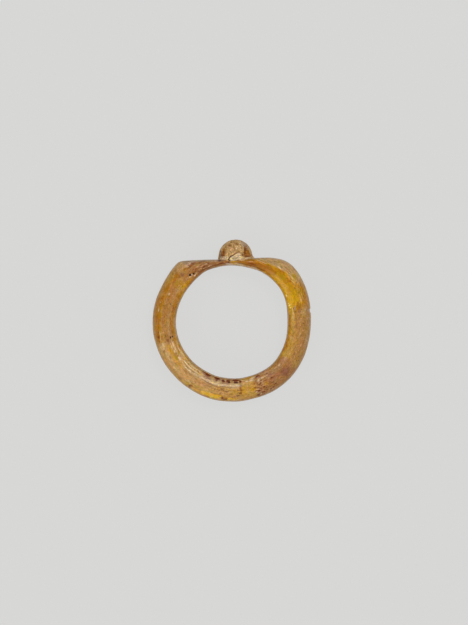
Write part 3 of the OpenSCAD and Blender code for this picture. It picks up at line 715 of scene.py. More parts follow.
def hoop_section(angles):
    """Sections of the hoop before its top is pressed: distances from the finger's axis, places along it."""
    hole, outside, widest = (around(angles, column)[:, None] for column in ("hole", "outside", "widest"))
    rise = outside - hole - widest
    wall_half = HALF_WIDTH - EDGE_WIDTH

    def inner_edge(first, last, side):
        turn = np.linspace(first, last, EDGE_STEPS, endpoint=False)[None, :]
        return hole + widest * (1 - np.cos(turn)), side * (wall_half + EDGE_WIDTH * np.sin(turn)) + 0 * hole

    bow = np.linspace(0, math.pi, OUTER_STEPS, endpoint=False)[None, :]
    bore = np.linspace(-wall_half, wall_half, BORE_STEPS, endpoint=False)[None, :] + 0 * hole
    parts = (
        inner_edge(0, math.pi / 2, 1),
        (hole + widest + rise * np.sin(bow), HALF_WIDTH * np.cos(bow) + 0 * hole),
        inner_edge(math.pi / 2, 0, -1),
        (hole + 0 * bore, bore),
    )
    distance, along = (np.concatenate(values, axis=1) for values in zip(*parts))
    return distance, along


def face_height(angle, outside):
    """Height of the near face above the hoop's middle, at a place in plan."""
    hole, rim, widest = (float(around(angle, column)) for column in ("hole", "outside", "widest"))
    if outside < widest:
        height = HALF_WIDTH - EDGE_WIDTH * (1 - math.sqrt(1 - (1 - max(outside, 0) / widest) ** 2))
    else:
        height = HALF_WIDTH * math.sqrt(max(1 - ((outside - widest) / (rim - hole - widest)) ** 2, 0))
    x = (hole + outside) * math.cos(math.radians(angle))
    y = (hole + outside) * math.sin(math.radians(angle))
    under_table = max(table_height(x) - y, 0)
    return min(height, HALF_WIDTH * (under_table / TABLE_EDGE_DROP) ** (1 / TABLE_EDGE_POWER))


def stamp(mark, away, within, layers, depth):
    """Adds a mark to its layer, and returns the depth with the mark's own. away is 1 at the mark's rim."""
    colour = (1 - smooth_step(*COLOUR_FADE, away)) * within
    layers[mark.kind] = np.maximum(layers[mark.kind], mark.strength * colour)
    return np.maximum(depth, mark.depth * (1 - smooth_step(*DEPTH_FADE, away)) * within)


def paint_marks(points, turn=0.0, face=1.0):
    """The hoop's marks on one face: each kind's layer, 0 to 1, and how deep the marks are sunk."""
    x, y, z = points.T
    angle = np.degrees(np.arctan2(y, x)) - turn
    distance = np.hypot(x, y) * (1 + LOOMING * np.maximum(z * face, 0))
    outside = distance - around(angle % 360, "hole")
    ragged = HOOP_RAGGED * lumps(points, TEAR_SIZE, 2, seed=3.1)
    on_face = smooth_step(-0.3, 0.5, z * face)
    layers = {kind: np.zeros(len(points)) for kind in KINDS}
    depth = np.zeros(len(points))
    for mark in HOOP_MARKS:
        along = np.radians((angle - mark.angle + 180) % 360 - 180) * distance
        drop = z * face - face_height(mark.angle, mark.outside)
        away = np.sqrt((along / mark.long) ** 2 + ((outside - mark.outside) / mark.wide) ** 2
                       + (drop / (3 * mark.wide)) ** 2) + ragged
        depth = stamp(mark, away, on_face, layers, depth)
    return layers, depth


def plan_place(points):
    """Angle round the finger, and distance outside the hole as it is seen from above a face."""
    x, y, z = points.T
    angle = np.degrees(np.arctan2(y, x)) % 360
    return angle, np.hypot(x, y) * (1 + LOOMING * np.abs(z)) - around(angle, "hole")


def paint_bands(points, wander, layers):
    """Adds the long bands of the two faces to the marks."""
    z = points[:, 2]
    angle, outside = plan_place(points)
    height = np.abs(z) / HALF_WIDTH + FACE_WANDER * wander
    on_face = np.where(outside < INNER_SIDE, smooth_step(*BORE_TO_FACE, height),
                       smooth_step(*OUTER_TO_FACE, height))
    layers["clear"] = np.maximum(layers["clear"], BARE)
    layers["wall"] = 1 - on_face
    turned = np.where(z < 0, FAR_FACE_TURN, 0.0)
    share = np.where(z < 0, FAR_FACE_SHARE, 1.0)
    broken = np.clip(0.85 + 1.6 * lumps(points, CHALK_AND_LIGHT_LUMP, 2, seed=31.7), *CHALK_AND_LIGHT_LIMITS)
    slant = WALL_SLANT * (1 - on_face) * lumps(points, 4.0, 2, seed=15.3)
    for band in HOOP_BANDS:
        span = band.end - band.start
        ahead = (angle - turned - band.start + LEAD + slant) % 360 - LEAD + END_WANDER * wander
        fade = np.clip(END_FADE + END_FADE_PER_DEGREE * span, *END_FADE_LIMITS)
        fade = fade + WALL_END_FADE * (1 - on_face) + FAR_END_FADE * (z < 0)
        ends = smooth_step(-fade, fade, ahead) * (1 - smooth_step(span - fade, span + fade, ahead))
        way = np.clip(ahead / span, 0, 1)
        low = band.inner_start + (band.inner_end - band.inner_start) * way
        high = band.outer_start + (band.outer_end - band.outer_start) * way
        soft = np.clip(SIDE_FADE * (high - low), *SIDE_FADE_LIMITS)
        place = outside + SIDE_WANDER * soft * wander
        beyond = smooth_step(high - soft, high + soft, place)
        across = smooth_step(low - soft, low + soft, place) * (1 - beyond)
        strength = band.strength * share
        if band.kind == "chalk_and_light":
            strength = strength * broken
        covered = np.minimum(strength * ends * across * on_face, 1.0)
        layers[band.kind] = np.maximum(layers[band.kind], covered)


def paint_walls(points, layers):
    """Patches of the bore and the outer side, grime with painted shade, and bloom where fingers don't rub."""
    outside = plan_place(points)[1]
    from_middle = np.abs(points[:, 2])
    drawn_out = points / PATCH_SIZE
    for patch in WALL_PATCHES:
        cover = smooth_step(-0.05, 0.55, lumps(drawn_out, 1.0, 4, seed=patch.seed)) * layers["wall"]
        layers[patch.kind] = np.maximum(layers[patch.kind], patch.strength * cover)
    patchy = smooth_step(-0.15, 0.5, lumps(points, 1.3, 3, seed=12.1))
    outer_side = (1 - smooth_step(0.2, 1.3, from_middle)) * (outside > 1.0)
    bore = (1 - smooth_step(1.5, 1.95, from_middle)) * (outside < INNER_SIDE)
    # painted shade with the grime: darker round the outer side's middle and along the bore, in patches
    layers["grime_and_shade"] = (OUTER_GRIME_AND_SHADE * outer_side + BORE_GRIME_AND_SHADE * bore) * patchy
    bore_bloom = (1 - smooth_step(1.6, 2.1, from_middle)) * (outside < INNER_SIDE)
    layers["ash"] = np.maximum(layers["ash"], WALL_BLOOM * outer_side + WALL_BLOOM * bore_bloom)


def paint_table(points, wander, layers):
    """A grey bloom on the table and along its edges, which thins out towards the right shoulder."""
    x, y = points[:, 0], points[:, 1]
    below = table_height(x) - y
    bloom = (1 - smooth_step(0.10, 0.30, below + 0.05 * wander)) * smooth_step(-7.2, -6.2, x)
    layers["ash"] = np.maximum(layers["ash"], TABLE_BLOOM * bloom * (1 - smooth_step(4.0, 5.5, x)))


def nick(points):
    """Depth of the shallow nick in the outer edge on the right."""
    x, y, z = points.T
    away = np.hypot((y - NICK_Y) / NICK_LONG, z / NICK_WIDE)
    return NICK_DEPTH * (1 - smooth_step(0.4, 1.1, away)) * (x > 9)


def crest_and_fold(points):
    """Height of the crest along the inner edge, lower left, and of the fold over the right shoulder."""
    x, y, z = points.T
    angle = np.degrees(np.arctan2(y, x)) % 360
    outside = np.hypot(x, y) - around(angle, "hole")

    def ridge(place, height, half_width):
        return height * np.exp(-((outside - place) / half_width) ** 2)

    crest = 1.20 - 0.25 * smooth_step(225, 270, angle)
    crest_ends = smooth_step(196, 206, angle) * (1 - smooth_step(268, 279, angle))
    broken = 0.55 + 0.9 * lumps(points, 0.5, 2, seed=6.6)
    crest_form = broken * ridge(crest, *CREST) + ridge(crest - 0.26, *GROOVE)
    fold = 2.25 - 1.15 * smooth_step(30, 70, angle)
    fold_ends = smooth_step(30, 42, angle) * (1 - smooth_step(72, 80, angle))
    fold_form = ridge(fold, *FOLD) + ridge(fold - 0.5, *TROUGH)
    return crest_ends * crest_form + fold_ends * fold_form


def build_hoop(settings):
    """The hoop: its sections, pressed flat on top, then painted, and last moved in and out by its relief."""
    angles = np.linspace(0, 360, settings.stations, endpoint=False)
    distance, along = hoop_section(angles)
    turn = np.radians(angles)[:, None]
    grid = press_table(np.stack([distance * np.cos(turn), distance * np.sin(turn), along], axis=-1))
    points = grid.reshape(-1, 3)
    layers, depth = paint_marks(points)
    far_layers, far_depth = paint_marks(points, turn=FAR_FACE_TURN, face=-1.0)
    layers = {kind: np.maximum(layers[kind], far_layers[kind]) for kind in KINDS}
    depth = np.maximum(depth, far_depth)
    wander = lumps(points, 1.0, 2, seed=7.7)
    paint_bands(points, wander, layers)
    paint_walls(points, layers)
    paint_table(points, wander, layers)
    x, y, z = points.T
    ridge_places = np.stack([
        x / RIDGE_LENGTH, y / RIDGE_LENGTH, np.hypot(x, y) / RIDGE_SPACING + z / RIDGE_SPACING,
    ], axis=-1)
    unevenness = settings.unevenness / MM
    swell = unevenness * lumps(points, SWELL_SIZE, 2, seed=1.3)
    ripple = RIPPLE_SHARE * unevenness * lumps(points, RIPPLE_SIZE, 3, seed=5.9)
    ridges = settings.ridge_height / MM * lumps(ridge_places, 1.0, 2, seed=2.2)
    offset = swell + ripple + ridges + crest_and_fold(points) - depth - nick(points)
    points = points + surface_normals(grid, middle=(0, 0, 0)) * offset[:, None]
    points[:, 2] = np.clip(points[:, 2], -HALF_WIDTH, HALF_WIDTH)
    return new_piece("glass_hoop", points, grid_faces(*grid.shape[:2]), layers, hoop_material(settings))


def chip_distance(x, y):
    """Distance to the outline of the chip, in millimetres, above 0 inside it."""
    corners = np.array(CHIP)
    inside = np.zeros(len(x), bool)
    nearest = np.full(len(x), np.inf)
    for (ax, ay), (bx, by) in zip(corners, np.roll(corners, -1, axis=0)):
        crosses = (ay > y) != (by > y)
        inside ^= crosses & (x < (bx - ax) * (y - ay) / (by - ay + 1e-12) + ax)
        t = np.clip(((x - ax) * (bx - ax) + (y - ay) * (by - ay)) / ((bx - ax) ** 2 + (by - ay) ** 2), 0, 1)
        nearest = np.minimum(nearest, np.hypot(x - ax - t * (bx - ax), y - ay - t * (by - ay)))
    return np.where(inside, nearest, -nearest)


def paint_knob(points, foot_x, foot_y):
    """The marks on the drop, and the chip and the crack at its foot: each layer, and how deep they go."""
    x = points[:, 0] - foot_x
    y = points[:, 1] - foot_y
    z = points[:, 2]
    ragged = KNOB_RAGGED * lumps(points, TEAR_SIZE, 2, seed=8.3)
    layers = {kind: np.zeros(len(points)) for kind in KINDS}
    layers["specked"] += KNOB_SPECKS
    depth = np.zeros(len(points))

    def stamp_side(mark, side, within, depth):
        away = np.hypot((x * side - mark.angle) / mark.long, (y - mark.outside) / mark.wide) + ragged
        return stamp(mark, away, smooth_step(-0.2, 0.5, z * side) * within, layers, depth)

    for side in (1.0, -1.0):
        for mark in KNOB_MARKS:
            depth = stamp_side(mark, side, 1.0, depth)
    patchy = smooth_step(-0.15, 0.5, lumps(points, 0.8, 3, seed=12.1))
    # painted shade with the grime: darker round the drop's middle, in patches, where its outline shows from
    # above
    layers["grime_and_shade"] = np.maximum(layers["grime_and_shade"], 0.5 * patchy * (1 - smooth_step(0.20, 0.85, np.abs(z))))
    near = smooth_step(0.2, 0.6, z)
    inward = chip_distance(x + 0.06 * ragged, y + 0.06 * ragged) * np.where(z > 0, 1, 0) - (z <= 0)
    broken = smooth_step(-0.01, 0.05, inward) * near
    left_edge = smooth_step(0.60, 0.25, x) * near
    crack = (1 - smooth_step(0.3, 1.0, np.abs(inward) / CRACK_WIDTH)) * left_edge
    for kind in KINDS:
        layers[kind] *= 1 - broken
    layers["specked"] = np.maximum(layers["specked"], CHIP_SPECKS)
    for mark in CHIP_MARKS:
        depth = stamp_side(mark, 1.0, broken, depth)
    facets = 0.5 + 0.5 * lumps(points, 0.22, 2, seed=9.5)
    depth = np.maximum(depth, broken * CHIP_DEPTH * (0.5 + facets))
    depth = np.maximum(depth, crack * CRACK_DEPTH)
    layers["chalk_and_light"] = np.maximum(layers["chalk_and_light"], 0.95 * broken)
    layers["umber"] = np.maximum(layers["umber"], crack)
    layers["dark"] = np.maximum(layers["dark"], 0.62 * crack * smooth_step(0.35, -0.45, x))
    return layers, depth


def build_knob(settings):
    """The drop: rings from the foot in its seat to the top, painted, and then moved in and out."""
    low, high = np.array(KNOB_LOW) / MM, np.array(KNOB_HIGH) / MM
    radius = high[2]
    foot_x = (low[0] + high[0]) / 2
    foot_y = table_height(foot_x)
    shoulder = high[1] - foot_y - radius
    tilt = math.atan(TABLE_SLOPE)
    turns = np.linspace(0, 2 * math.pi, 2 * settings.rings, endpoint=False)[None, :]
    wall_rings = settings.rings // 3
    rise = np.linspace(0, 0.5 * math.pi * TOP_RING, settings.rings - wall_rings)
    wall = np.linspace(-KNOB_SUNK, shoulder, wall_rings, endpoint=False)
    up = np.concatenate([wall, shoulder + radius * np.sin(rise)])[:, None] + 0 * turns
    reach = np.concatenate([np.full(wall_rings, radius), radius * np.cos(rise)])[:, None]
    right = (1 + np.cos(turns)) / 2
    flare = np.exp(-(np.maximum(up, -0.05) + 0.05) / FLARE_HEIGHT)
    wide = reach + flare * (FOOT_RIM + settings.foot_flare / MM * right ** 2)
    across = wide * np.cos(turns) + KNOB_LEAN * np.maximum(up, 0)
    z = np.clip(wide * np.sin(turns), -HALF_WIDTH + FOOT_MARGIN, HALF_WIDTH - FOOT_MARGIN)
    x = foot_x + across * math.cos(tilt) - up * math.sin(tilt)
    y = foot_y + across * math.sin(tilt) + up * math.cos(tilt)
    grid = np.stack([x, y, z], axis=-1)
    normals = surface_normals(grid, middle=(foot_x, foot_y + shoulder, 0), closed_rows=False)
    points = grid.reshape(-1, 3)
    layers, depth = paint_knob(points, foot_x, foot_y)
    swell = KNOB_SWELL[0] * lumps(points, KNOB_SWELL[1], 2, seed=4.4)
    ripple = KNOB_RIPPLE[0] * lumps(points, KNOB_RIPPLE[1], 3, seed=6.1)
    offset = swell + ripple - depth
    points = points + normals * offset[:, None]
    rings, spokes = grid.shape[:2]
    faces = [list(face) for face in grid_faces(rings, spokes, closed_rows=False)]
    faces.append(list(range(spokes)))
    faces.append([(rings - 1) * spokes + k for k in reversed(range(spokes))])
    return new_piece("glass_knob", points, faces, layers, knob_material(settings))


class Tree:
    """Adds nodes to a material, a node group or a world, and joins them."""

    def __init__(self, node_tree):
        self.nodes = node_tree.nodes
        self.links = node_tree.links

    def add(self, kind, inputs=None, **settings):
        """A new node, with each input set to a value or joined to another node's output."""
        node = self.nodes.new(kind)
        for name, value in settings.items():
            setattr(node, name, value)
        for name, value in (inputs or {}).items():
            socket = node.inputs[name]
            if isinstance(value, bpy.types.NodeSocket):
                self.links.new(value, socket)
            else:
                socket.default_value = value
        return node

    def math(self, operation, a, b=0.0, clamp=False):
        return self.add("ShaderNodeMath", {0: a, 1: b}, operation=operation, use_clamp=clamp).outputs[0]

    def plus(self, a, b, clamp=False):
        return self.math("ADD", a, b, clamp)

    def minus(self, a, b, clamp=False):
        return self.math("SUBTRACT", a, b, clamp)

    def times(self, a, b):
        return self.math("MULTIPLY", a, b)

    def swing(self, noise_value, amount):
        """How far a noise is from its middle, times an amount."""
        return self.times(self.minus(noise_value, 0.5), amount)

    def spread(self, value, low, high, to_low=0.0, to_high=1.0):
        """A value carried from one range to another and kept within it."""
        inputs = {"Value": value, "From Min": low, "From Max": high, "To Min": to_low, "To Max": to_high}
        return self.add("ShaderNodeMapRange", inputs, clamp=True).outputs["Result"]

    def noise(self, vector, scale, detail, roughness=0.5, **settings):
        inputs = {"Vector": vector, "Scale": scale, "Detail": detail, "Roughness": roughness}
        return self.add("ShaderNodeTexNoise", inputs, **settings)

    def layer(self, name):
        """One of the layers that are painted into the mesh."""
        return self.add("ShaderNodeAttribute", attribute_name=name).outputs["Fac"]

    def group(self, name, inputs):
        """A shared node group, which is built when it is first asked for."""
        shared = bpy.data.node_groups.get(name) or GROUPS[name](name)
        return self.add("ShaderNodeGroup", inputs, node_tree=shared).outputs

    def cover(self, base, share, colour):
        """A colour laid over another, as far as share says."""
        node = self.add("ShaderNodeMix", {0: share, 6: base, 7: opaque(colour)}, data_type="RGBA")
        return node.outputs[2]

    def ramp(self, value, stops):
        """A colour ramp through stops, each a place from 0 to 1 and a colour."""
        node = self.add("ShaderNodeValToRGB", {"Fac": value})
        elements = node.color_ramp.elements
        while len(elements) < len(stops):
            elements.new(0.5)
        for element, (place, colour) in zip(elements, stops):
            element.position = place
            element.color = opaque(colour)
        return node.outputs["Color"]


def new_group(name, numbers, outputs):
    """A shader node group that takes a vector and numbers: itself, its Tree, and its two sets of sockets."""
    group = bpy.data.node_groups.new(name, "ShaderNodeTree")
    group.interface.new_socket("Vector", in_out="INPUT", socket_type="NodeSocketVector")
    for number, default in numbers.items():
        socket = group.interface.new_socket(number, in_out="INPUT", socket_type="NodeSocketFloat")
        socket.default_value = default
    for output in outputs:
        group.interface.new_socket(output, in_out="OUTPUT", socket_type="NodeSocketFloat")
    entry = group.nodes.new("NodeGroupInput")
    leave = group.nodes.new("NodeGroupOutput")
    return group, Tree(group), entry.outputs, leave.inputs


def weathering_group(name):
    """How weathered the glass is, from 0 where it is deep and clear to 1 where its film is palest."""
    group, tree, given, out = new_group(name, {"Size": 1.0, "Level": 0.5, "Contrast": 1.0}, ("Tone", "Grain"))
    scale = tree.math("DIVIDE", 1 / MM, given["Size"])
    islands = tree.noise(given["Vector"], scale, 5.0, 0.65).outputs["Fac"]
    grain = tree.noise(given["Vector"], tree.times(scale, 5.5), 1.4, 0.65).outputs["Fac"]
    uneven = tree.plus(tree.minus(islands, 0.5), tree.swing(grain, 0.8))
    tone_here = tree.plus(given["Level"], tree.times(uneven, given["Contrast"]), clamp=True)
    tree.links.new(tone_here, out["Tone"])
    tree.links.new(grain, out["Grain"])
    return group


def drawn_streaks_group(name):
    """Fine streaks that run round the hoop, as the tool drew the glass."""
    group, tree, given, out = new_group(name, {"Fineness": 4.0, "Shortness": 3.0}, ("Streak",))
    parts = tree.add("ShaderNodeSeparateXYZ", {"Vector": given["Vector"]}).outputs
    square = tree.plus(tree.times(parts["X"], parts["X"]), tree.times(parts["Y"], parts["Y"]))
    distance = tree.math("SQRT", square)
    per_mm = tree.times(given["Fineness"], 1 / MM)
    place = tree.add("ShaderNodeCombineXYZ", {
        "X": tree.times(tree.math("DIVIDE", parts["X"], distance), given["Shortness"]),
        "Y": tree.times(tree.math("DIVIDE", parts["Y"], distance), given["Shortness"]),
        "Z": tree.times(distance, per_mm)})
    streak = tree.noise(place.outputs[0], 1.0, 2.4, 0.6, noise_dimensions="4D")
    tree.links.new(tree.times(parts["Z"], per_mm), streak.inputs["W"])
    tree.links.new(streak.outputs["Fac"], out["Streak"])
    return group


def specks_group(name):
    """Small round specks, some places thick with them and others bare."""
    group, tree, given, out = new_group(name, {"Spacing": 0.25, "Speck": 0.3, "Crowding": 0.5}, ("Specks",))
    scale = tree.math("DIVIDE", 1 / MM, given["Spacing"])
    bend = tree.noise(given["Vector"], tree.times(scale, 2.2), 1.0).outputs["Color"]
    bend = tree.add("ShaderNodeVectorMath", {0: bend, 1: (0.5, 0.5, 0.5)}, operation="SUBTRACT").outputs[0]
    bend = tree.add("ShaderNodeVectorMath", {0: bend, "Scale": tree.math("DIVIDE", 1.1, scale)},
                    operation="SCALE").outputs[0]
    place = tree.add("ShaderNodeVectorMath", {0: given["Vector"], 1: bend}).outputs[0]
    cells = tree.add("ShaderNodeTexVoronoi", {"Vector": place, "Scale": scale})
    own = tree.add("ShaderNodeSeparateXYZ", {"Vector": cells.outputs["Color"]}).outputs
    size = tree.times(tree.plus(own["X"], 0.4), given["Speck"])
    dot = tree.spread(cells.outputs["Distance"], tree.times(size, 0.5), size, 1.0, 0.0)
    kept = tree.spread(tree.minus(given["Crowding"], own["Y"]), -0.05, 0.05)
    tree.links.new(tree.times(dot, kept), out["Specks"])
    return group


def fine_mottle_group(name):
    """Small soft patches that are lighter or darker, and richer or greyer, than the rest."""
    group, tree, given, out = new_group(name, {"Size": 0.2, "Contrast": 0.4}, ("Lightness", "Strength"))
    scale = tree.math("DIVIDE", 1 / MM, given["Size"])
    fine = tree.noise(given["Vector"], scale, 0.6).outputs["Fac"]
    broad = tree.noise(given["Vector"], tree.times(scale, 0.22), 3.0).outputs["Fac"]
    both = tree.plus(fine, tree.times(broad, 0.35))
    lift = tree.times(tree.spread(both, 0.325, 1.025, -1.0, 1.0), given["Contrast"])
    richer = tree.spread(broad, 0.3, 0.7, 1.05, 0.95)
    tree.links.new(tree.plus(1.0, lift), out["Lightness"])
    tree.links.new(tree.minus(richer, tree.times(lift, 0.17)), out["Strength"])
    return group


GROUPS = {
    "Weathering": weathering_group,
    "Drawn streaks": drawn_streaks_group,
    "Specks": specks_group,
    "Fine mottle": fine_mottle_group,
}

# Both pieces' glass: how it bends and reflects light, how far each colour passes under its surface, and the
# smoothness of its thin clear coat
GLASS_IOR = 1.5
GLASS_SPECULAR = 0.12
UNDER_SURFACE = (1.0, 0.55, 0.18)
UNDER_SURFACE_DEPTH = 0.1 * MM
COAT_ROUGHNESS = 0.16
# The finest relief, which is bump alone
RELIEF_DEPTH = 0.05 * MM
RELIEF_STRENGTH = 0.5

# Colours in the order that they are laid, stains alike with painted light and shade: how strong, the two
# values between which the painted layer comes in, and the colour
Overlay = namedtuple("Overlay", "kind strength low high colour")
WASHES = [
    Overlay("rose", 0.62, 0.10, 1.05, (154, 94, 68)),
    Overlay("pale", 0.62, 0.10, 1.05, (222, 186, 132)),
    Overlay("amber", 0.88, 0.10, 1.00, (174, 106, 0)),
    Overlay("ash", 0.70, 0.05, 1.00, (176, 156, 130)),
    Overlay("violet", 0.66, 0.15, 1.00, (136, 76, 70)),
    Overlay("yellow", 0.72, 0.10, 1.00, (216, 164, 16)),
    # painted glow where the rim is lit
    Overlay("lit_gold", 0.94, 0.05, 0.85, (244, 186, 34)),
    # chalk, and painted light in the same layer
    Overlay("chalk_and_light", 0.80, 0.10, 0.90, (220, 198, 164)),
]
SPOTS = [
    Overlay("olive", 0.85, 0.20, 0.80, (176, 140, 0)),
    # pale flakes, and painted highlights along the crest and the fold
    Overlay("cream", 0.80, 0.20, 0.90, (240, 214, 172)),
    Overlay("umber", 0.80, 0.20, 0.90, (114, 56, 12)),
    Overlay("maroon", 0.88, 0.15, 0.75, (108, 30, 6)),
    # grime, and painted shade at the outlines
    Overlay("grime_and_shade", 0.70, 0.10, 0.90, (92, 62, 34)),
    # painted highlights
    Overlay("painted_glint", 0.95, 0.25, 0.70, (255, 226, 130)),
    Overlay("dark", 1.00, 0.35, 0.70, (34, 12, 4)),
]
# How far the grain tears the edges of the first colours laid, of spots and of the drop's clear places
WASH_TEAR = 0.25
SPOT_TEAR = 0.7
CLEAR_TEAR = 0.9
# Bright lines that are painted highlights and dark lines, pale flecks that are painted glints, and brown pits
# of the hoop, and the pits of the drop
HIGHLIGHT_LINE = tone(234, 202, 150)
DARK_LINE = tone(146, 96, 44)
PALE_GLINT = tone(222, 172, 108)
BROWN_PIT = tone(98, 42, 10)
KNOB_PIT = tone(104, 60, 28)
# The drop's film from its deepest to its palest, beside its own colour
KNOB_DEEP = tone(122, 76, 32)
KNOB_DULL = tone(176, 132, 78)
KNOB_PALE = tone(226, 196, 144)


def new_glass(name, transmission, subsurface):
    """A translucent glass material: the material, its Tree and its Principled shader's inputs."""
    material = bpy.data.materials.new(name)
    material.use_nodes = True
    tree = Tree(material.node_tree)
    shader = next(node for node in tree.nodes if node.type == "BSDF_PRINCIPLED").inputs
    shader["IOR"].default_value = GLASS_IOR
    shader["Specular IOR Level"].default_value = GLASS_SPECULAR
    shader["Transmission Weight"].default_value = transmission
    shader["Subsurface Weight"].default_value = subsurface
    shader["Subsurface Radius"].default_value = UNDER_SURFACE
    shader["Subsurface Scale"].default_value = UNDER_SURFACE_DEPTH
    shader["Coat Roughness"].default_value = COAT_ROUGHNESS
    return material, tree, shader


def join_surface(tree, shader, base, rough, coat, height):
    """Joins what changes over the surface to its shader."""
    tree.links.new(base, shader["Base Color"])
    tree.links.new(rough, shader["Roughness"])
    tree.links.new(coat, shader["Coat Weight"])
    bump = tree.add("ShaderNodeBump", {
        "Strength": RELIEF_STRENGTH, "Distance": RELIEF_DEPTH, "Height": height})
    tree.links.new(bump.outputs["Normal"], shader["Normal"])


def torn_layer(tree, name, grain, low, high, tear):
    """A painted layer whose edge is torn by the grain."""
    layer = tree.layer(name)
    torn = tree.plus(layer, tree.swing(grain, tear))
    return tree.times(tree.spread(torn, low, high), tree.spread(layer, 0.0, 0.12))


def add_overlays(tree, overlays, base, grain, tear):
    """Lays painted colours over a colour, one after another: stains, and painted light and shade."""
    for overlay in overlays:
        mask = torn_layer(tree, overlay.kind, grain, overlay.low, overlay.high, tear)
        base = tree.cover(base, tree.times(mask, overlay.strength), tone(*overlay.colour))
    return base


def hoop_material(settings):
    """Amber glass under drawn-out films, with lines, flecks, pits, mottle, stains and painted light and
    shade.
    """
    material, tree, shader = new_glass("amber_glass", transmission=0.14, subsurface=0.45)
    vector = tree.add("ShaderNodeTexCoord").outputs["Object"]
    clear, wall, specked, lined, grime_and_shade = map(tree.layer, ("clear", "wall", "specked", "lined", "grime_and_shade"))

    def streaks(fineness, shortness):
        inputs = {"Vector": vector, "Fineness": fineness, "Shortness": shortness}
        return tree.group("Drawn streaks", inputs)["Streak"]

    def specks(spacing, speck, thick, thin, shift):
        moved = tree.add("ShaderNodeMapping", {
            "Vector": vector, "Location": (shift * MM, 0.0, 0.0)}).outputs[0]
        crowding = tree.plus(tree.times(specked, thick), thin)
        inputs = {"Vector": moved, "Spacing": spacing, "Speck": speck, "Crowding": crowding}
        return tree.group("Specks", inputs)["Specks"]

    streak = streaks(2.4, 8.0)
    thread = streaks(7.0, 26.0)
    tint = streaks(1.3, 7.0)
    line = streaks(5.0, 3.0)
    fleck_glints = specks(0.30, 0.34, 0.45, 0.05, 0.06)
    pits = specks(0.24, 0.38, 0.68, 0.06, 0.0)

    # the glass and its film
    level = tree.minus(0.62, tree.times(clear, 0.50))
    drawn = tree.plus(tree.swing(streak, 0.22), tree.swing(thread, 0.18))
    weather = tree.group("Weathering", {
        "Vector": vector, "Size": 0.5, "Level": tree.plus(level, drawn), "Contrast": 0.10})
    film, grain = weather["Tone"], weather["Grain"]
    base = tree.ramp(film, [
        (0.05, settings.deep_glass),
        (0.26, settings.glass),
        (0.42, settings.amber),
        (0.62, settings.film),
        (0.85, settings.pale_film),
    ])
    base = add_overlays(tree, WASHES, base, grain, WASH_TEAR)

    # fine lines, the bright ones painted highlights, flecks painted as glints, and pits
    base = tree.cover(base, tree.times(tree.spread(line, 0.54, 0.64), lined), HIGHLIGHT_LINE)
    base = tree.cover(base, tree.times(tree.spread(line, 0.46, 0.36), lined), DARK_LINE)
    filmed = tree.spread(clear, 0.40, 0.85, 0.50, 0.08)
    base = tree.cover(base, tree.times(fleck_glints, filmed), PALE_GLINT)
    base = tree.cover(base, tree.times(pits, 0.72), BROWN_PIT)

    # mottle and threads of light, calmer on the bore and the outer side and where the glass is clear
    calm = tree.minus(1.0, tree.times(wall, 0.62))
    mottle = tree.group("Fine mottle", {
        "Vector": vector, "Size": 0.12,
        "Contrast": tree.times(tree.spread(clear, 0.45, 0.95, 0.27, 0.12), calm)})
    thread_calm = tree.times(calm, tree.spread(clear, 0.60, 1.00, 1.0, 0.62))
    threads = tree.times(tree.spread(thread, 0.32, 0.68, -0.30, 0.30), thread_calm)
    rich = tree.times(mottle["Strength"], tree.spread(clear, 0.4, 1.0, 0.985, 1.12))
    base = tree.add("ShaderNodeHueSaturation", {
        "Hue": tree.spread(tint, 0.30, 0.70, 0.487, 0.511),
        "Value": tree.plus(threads, mottle["Lightness"]),
        "Saturation": tree.plus(rich, tree.times(wall, 0.05)),
        "Color": base}).outputs["Color"]
    base = add_overlays(tree, SPOTS, base, grain, SPOT_TEAR)

    # duller where it is filmed or in the grime layer with its painted shade, glossier on the walls
    rough = tree.plus(tree.spread(film, 0.1, 0.7, 0.26, 0.46), tree.times(grime_and_shade, 0.5))
    rough = tree.minus(rough, tree.times(wall, 0.12))
    gloss = tree.plus(tree.spread(film, 0.1, 0.6, 0.20, 0.14), tree.times(wall, 0.28))
    coat = tree.minus(gloss, grime_and_shade, clamp=True)
    height = tree.plus(tree.times(grain, 0.25), tree.times(streak, 0.6))
    height = tree.plus(height, tree.times(thread, 0.5))
    height = tree.minus(height, tree.times(pits, 0.6))
    join_surface(tree, shader, base, rough, coat, height)
    return material


